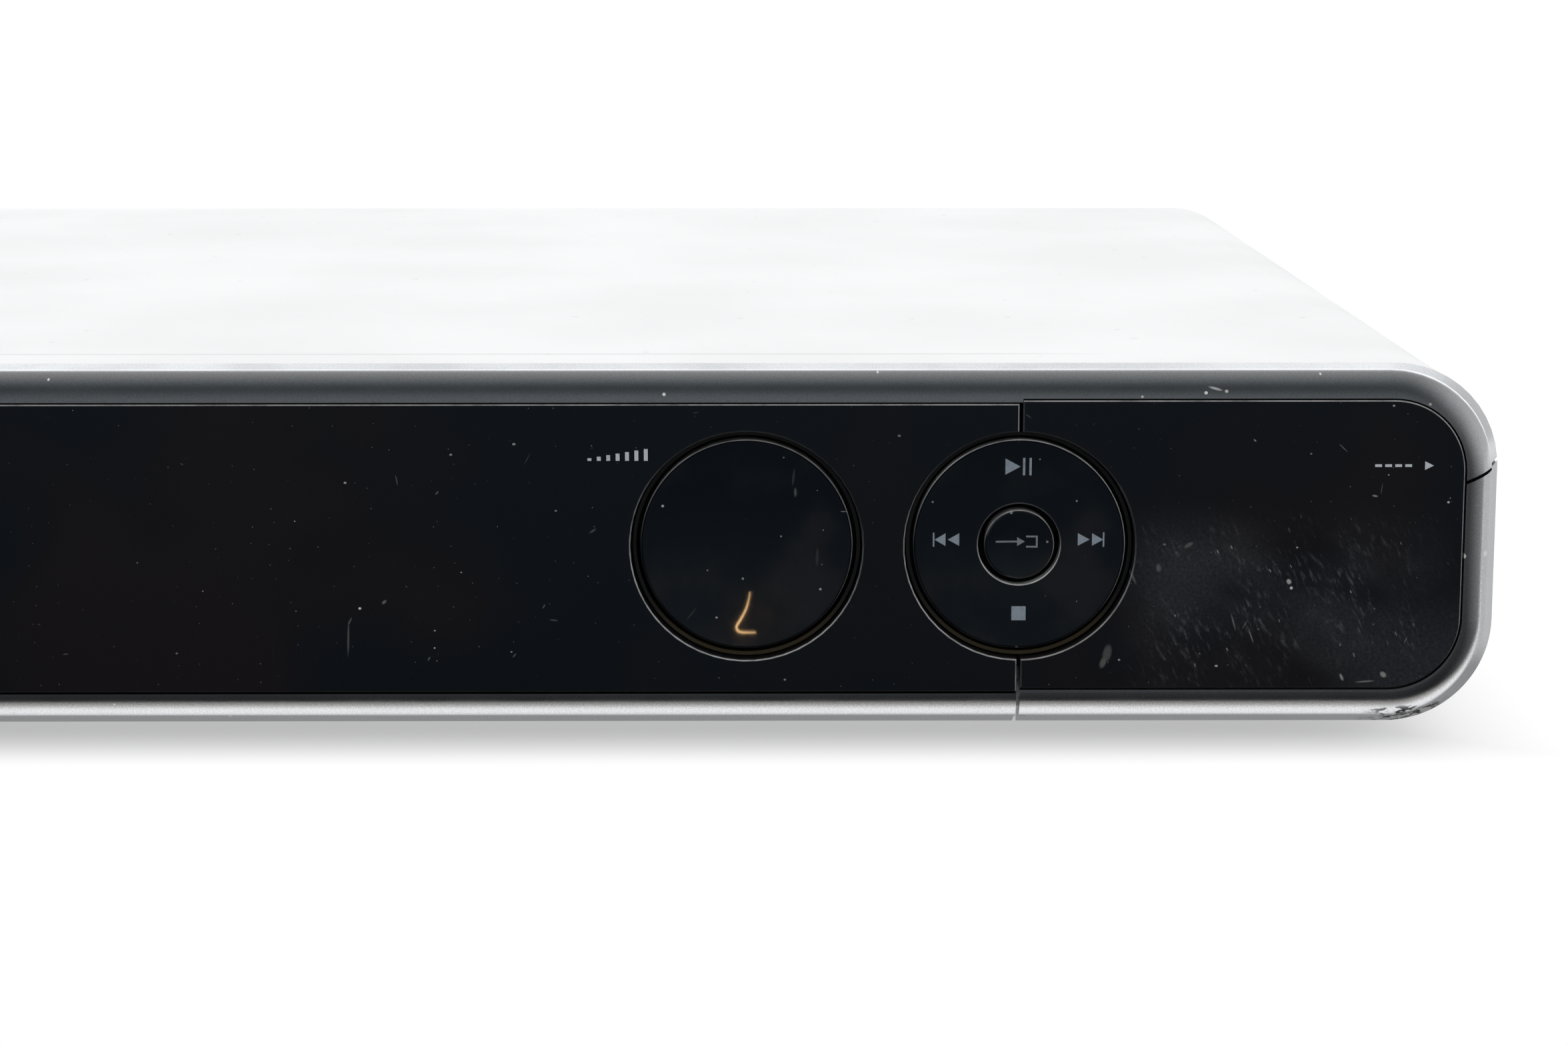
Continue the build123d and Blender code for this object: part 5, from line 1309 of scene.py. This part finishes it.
SCREW_PITCH = 3.0 * MM
FULL_TURN = 6.2832
lead_screw = turn_steel("screw_rolled", (0.62, 0.61, 0.59), 0.2)
screw_along = sum_up(lead_screw, "DIVIDE", along(lead_screw, "Y"), SCREW_PITCH)
screw_wave = sum_up(lead_screw, "SINE", times(lead_screw, screw_along, FULL_TURN))
raise_bump(lead_screw, screw_wave, 0.0003, 0.8)
dress(lead_screw, "lead_screw")

sled_cast = mould("sled_cast", (0.30, 0.30, 0.31), 0.45, 0.0009, 0.00004)
feed_surface(sled_cast, "Metallic", 0.8)
dress(sled_cast, "pickup_sled")

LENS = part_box("objective_lens")
LENS_GLASS_Z = (LENS[1].z - 2.2 * MM, LENS[1].z - 1.6 * MM)
lens = mix_finish("lens_glass", (0.015, 0.02, 0.05), 0.04, coat=1.0)
lens_top = ramp(lens, along(lens, "Z"), *LENS_GLASS_Z)
lens_cloud = grain(lens, where(lens), 0.002, 1.0)
lens_sheen = tint(lens, lens_cloud, (0.02, 0.03, 0.09), (0.05, 0.02, 0.08))
feed_surface(lens, "Base Color", tint(lens, lens_top, (0.014, 0.014, 0.015), lens_sheen))
feed_surface(lens, "Roughness", ramp(lens, lens_top, 0.0, 1.0, 0.4, 0.03))
dress(lens, "objective_lens")

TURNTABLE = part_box("turntable")
PAD_R = 12.5 * MM
PAD_HALF_W = 1.8 * MM
spin = mould("turntable_black", (0.02, 0.02, 0.022), 0.4)
spin_x = sum_up(spin, "SUBTRACT", along(spin, "X"), mid(TURNTABLE).x)
spin_y = sum_up(spin, "SUBTRACT", along(spin, "Y"), mid(TURNTABLE).y)
spin_pad = near(spin, distance(spin, spin_x, spin_y), PAD_R, PAD_HALF_W)
lay_over(spin, spin_pad, (0.10, 0.10, 0.102))
feed_surface(spin, "Roughness", ramp(spin, spin_pad, 0.0, 1.0, 0.35, 0.8))
dress(spin, "turntable")


# ---- Boards and power parts -------------------------------------------------------------
# Circuit boards under green mask with copper runs and tinned pads, epoxy chips, an extruded
# heat sink, a taped transformer, sleeved capacitors and white ribbon cables.
MASK_GREEN = (0.012, 0.085, 0.030)
RUN_GREEN = (0.03, 0.17, 0.06)


def etch_board(name, mask, run):
    """Solder mask over copper: lighter runs along both directions, and bright round pads."""
    board = mix_finish(name, mask, 0.35)
    runs = 0.0
    for stretch, shift in (((0.12, 1, 1), 0.0), ((1, 0.12, 1), 0.7)):
        lines = grain(board, where(board, shift=(shift, 0, 0), stretch=stretch), 0.0022, 1.0)
        band_off = sum_up(board, "ABSOLUTE", sum_up(board, "SUBTRACT", lines, 0.5))
        runs = most(board, ramp(board, band_off, 0.028, 0.018), runs)
    pads = specks(board, where(board), 0.0042, 0.0011, 0.35)
    tone = tint(board, runs, mask, run)
    feed_surface(board, "Base Color", tint(board, pads, tone, (0.62, 0.62, 0.58)))
    feed_surface(board, "Metallic", ramp(board, pads, 0.0, 1.0, 0.0, 0.9))
    feed_surface(board, "Roughness", ramp(board, runs, 0.0, 1.0, 0.38, 0.3))
    raise_bump(board, runs, 0.00004, 0.6)
    return board


board_green = etch_board("board_green", MASK_GREEN, RUN_GREEN)
dress(board_green, "control_board", "small_boards", "main_board")
dress(etch_board("power_board_tan", (0.32, 0.20, 0.08), (0.26, 0.15, 0.06)), "power_board")
dress(mould("chip_epoxy", (0.017, 0.017, 0.018), 0.55, 0.0003, 0.00001), "board_chips")
dress(turn_steel("fin_aluminium", (0.66, 0.67, 0.68), 0.34), "heat_sink")

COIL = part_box("transformer")
COIL_HALF_W = 17.05 * MM
coil = mould("coil_tape", (0.55, 0.36, 0.03), 0.4, 0.0015, 0.00001)
coil_sheets = grain(coil, where(coil, stretch=(0.02, 0.02, 1)), 0.0006, 1.0)
coil_core = tint(coil, coil_sheets, (0.06, 0.06, 0.062), (0.13, 0.13, 0.135))
lay_over(coil, band(coil, "X", mid(COIL).x, COIL_HALF_W), coil_core)
dress(coil, "transformer")

can_sleeve = mould("can_sleeve", (0.012, 0.014, 0.03), 0.3, 0.002, 0.00001)
can_facing = add_node(can_sleeve, "ShaderNodeTexCoord").outputs["Normal"]
can_top = sum_up(can_sleeve, "GREATER_THAN", axis(can_sleeve, can_facing, "Z"), 0.93)
add_metal(can_sleeve, can_top, (0.66, 0.66, 0.66), 0.3)
dress(can_sleeve, "capacitors")

RIBBON_PITCH = 1.25 * MM
ribbon = mould("ribbon_white", (0.68, 0.68, 0.66), 0.42, 0.002, 0.00001)
ribbon_across = sum_up(ribbon, "DIVIDE", along(ribbon, "X"), RIBBON_PITCH)
ribbon_wave = sum_up(ribbon, "SINE", times(ribbon, ribbon_across, FULL_TURN))
lay_over(ribbon, ramp(ribbon, ribbon_wave, -0.4, 0.6, 0.5, 0.0), (0.42, 0.42, 0.43))
dress(ribbon, "flat_cables")

dress(mould("fan_black", (0.02, 0.02, 0.021), 0.5), "fan_housing")
dress(mould("rotor_black", (0.014, 0.014, 0.015), 0.35), "fan_rotor")
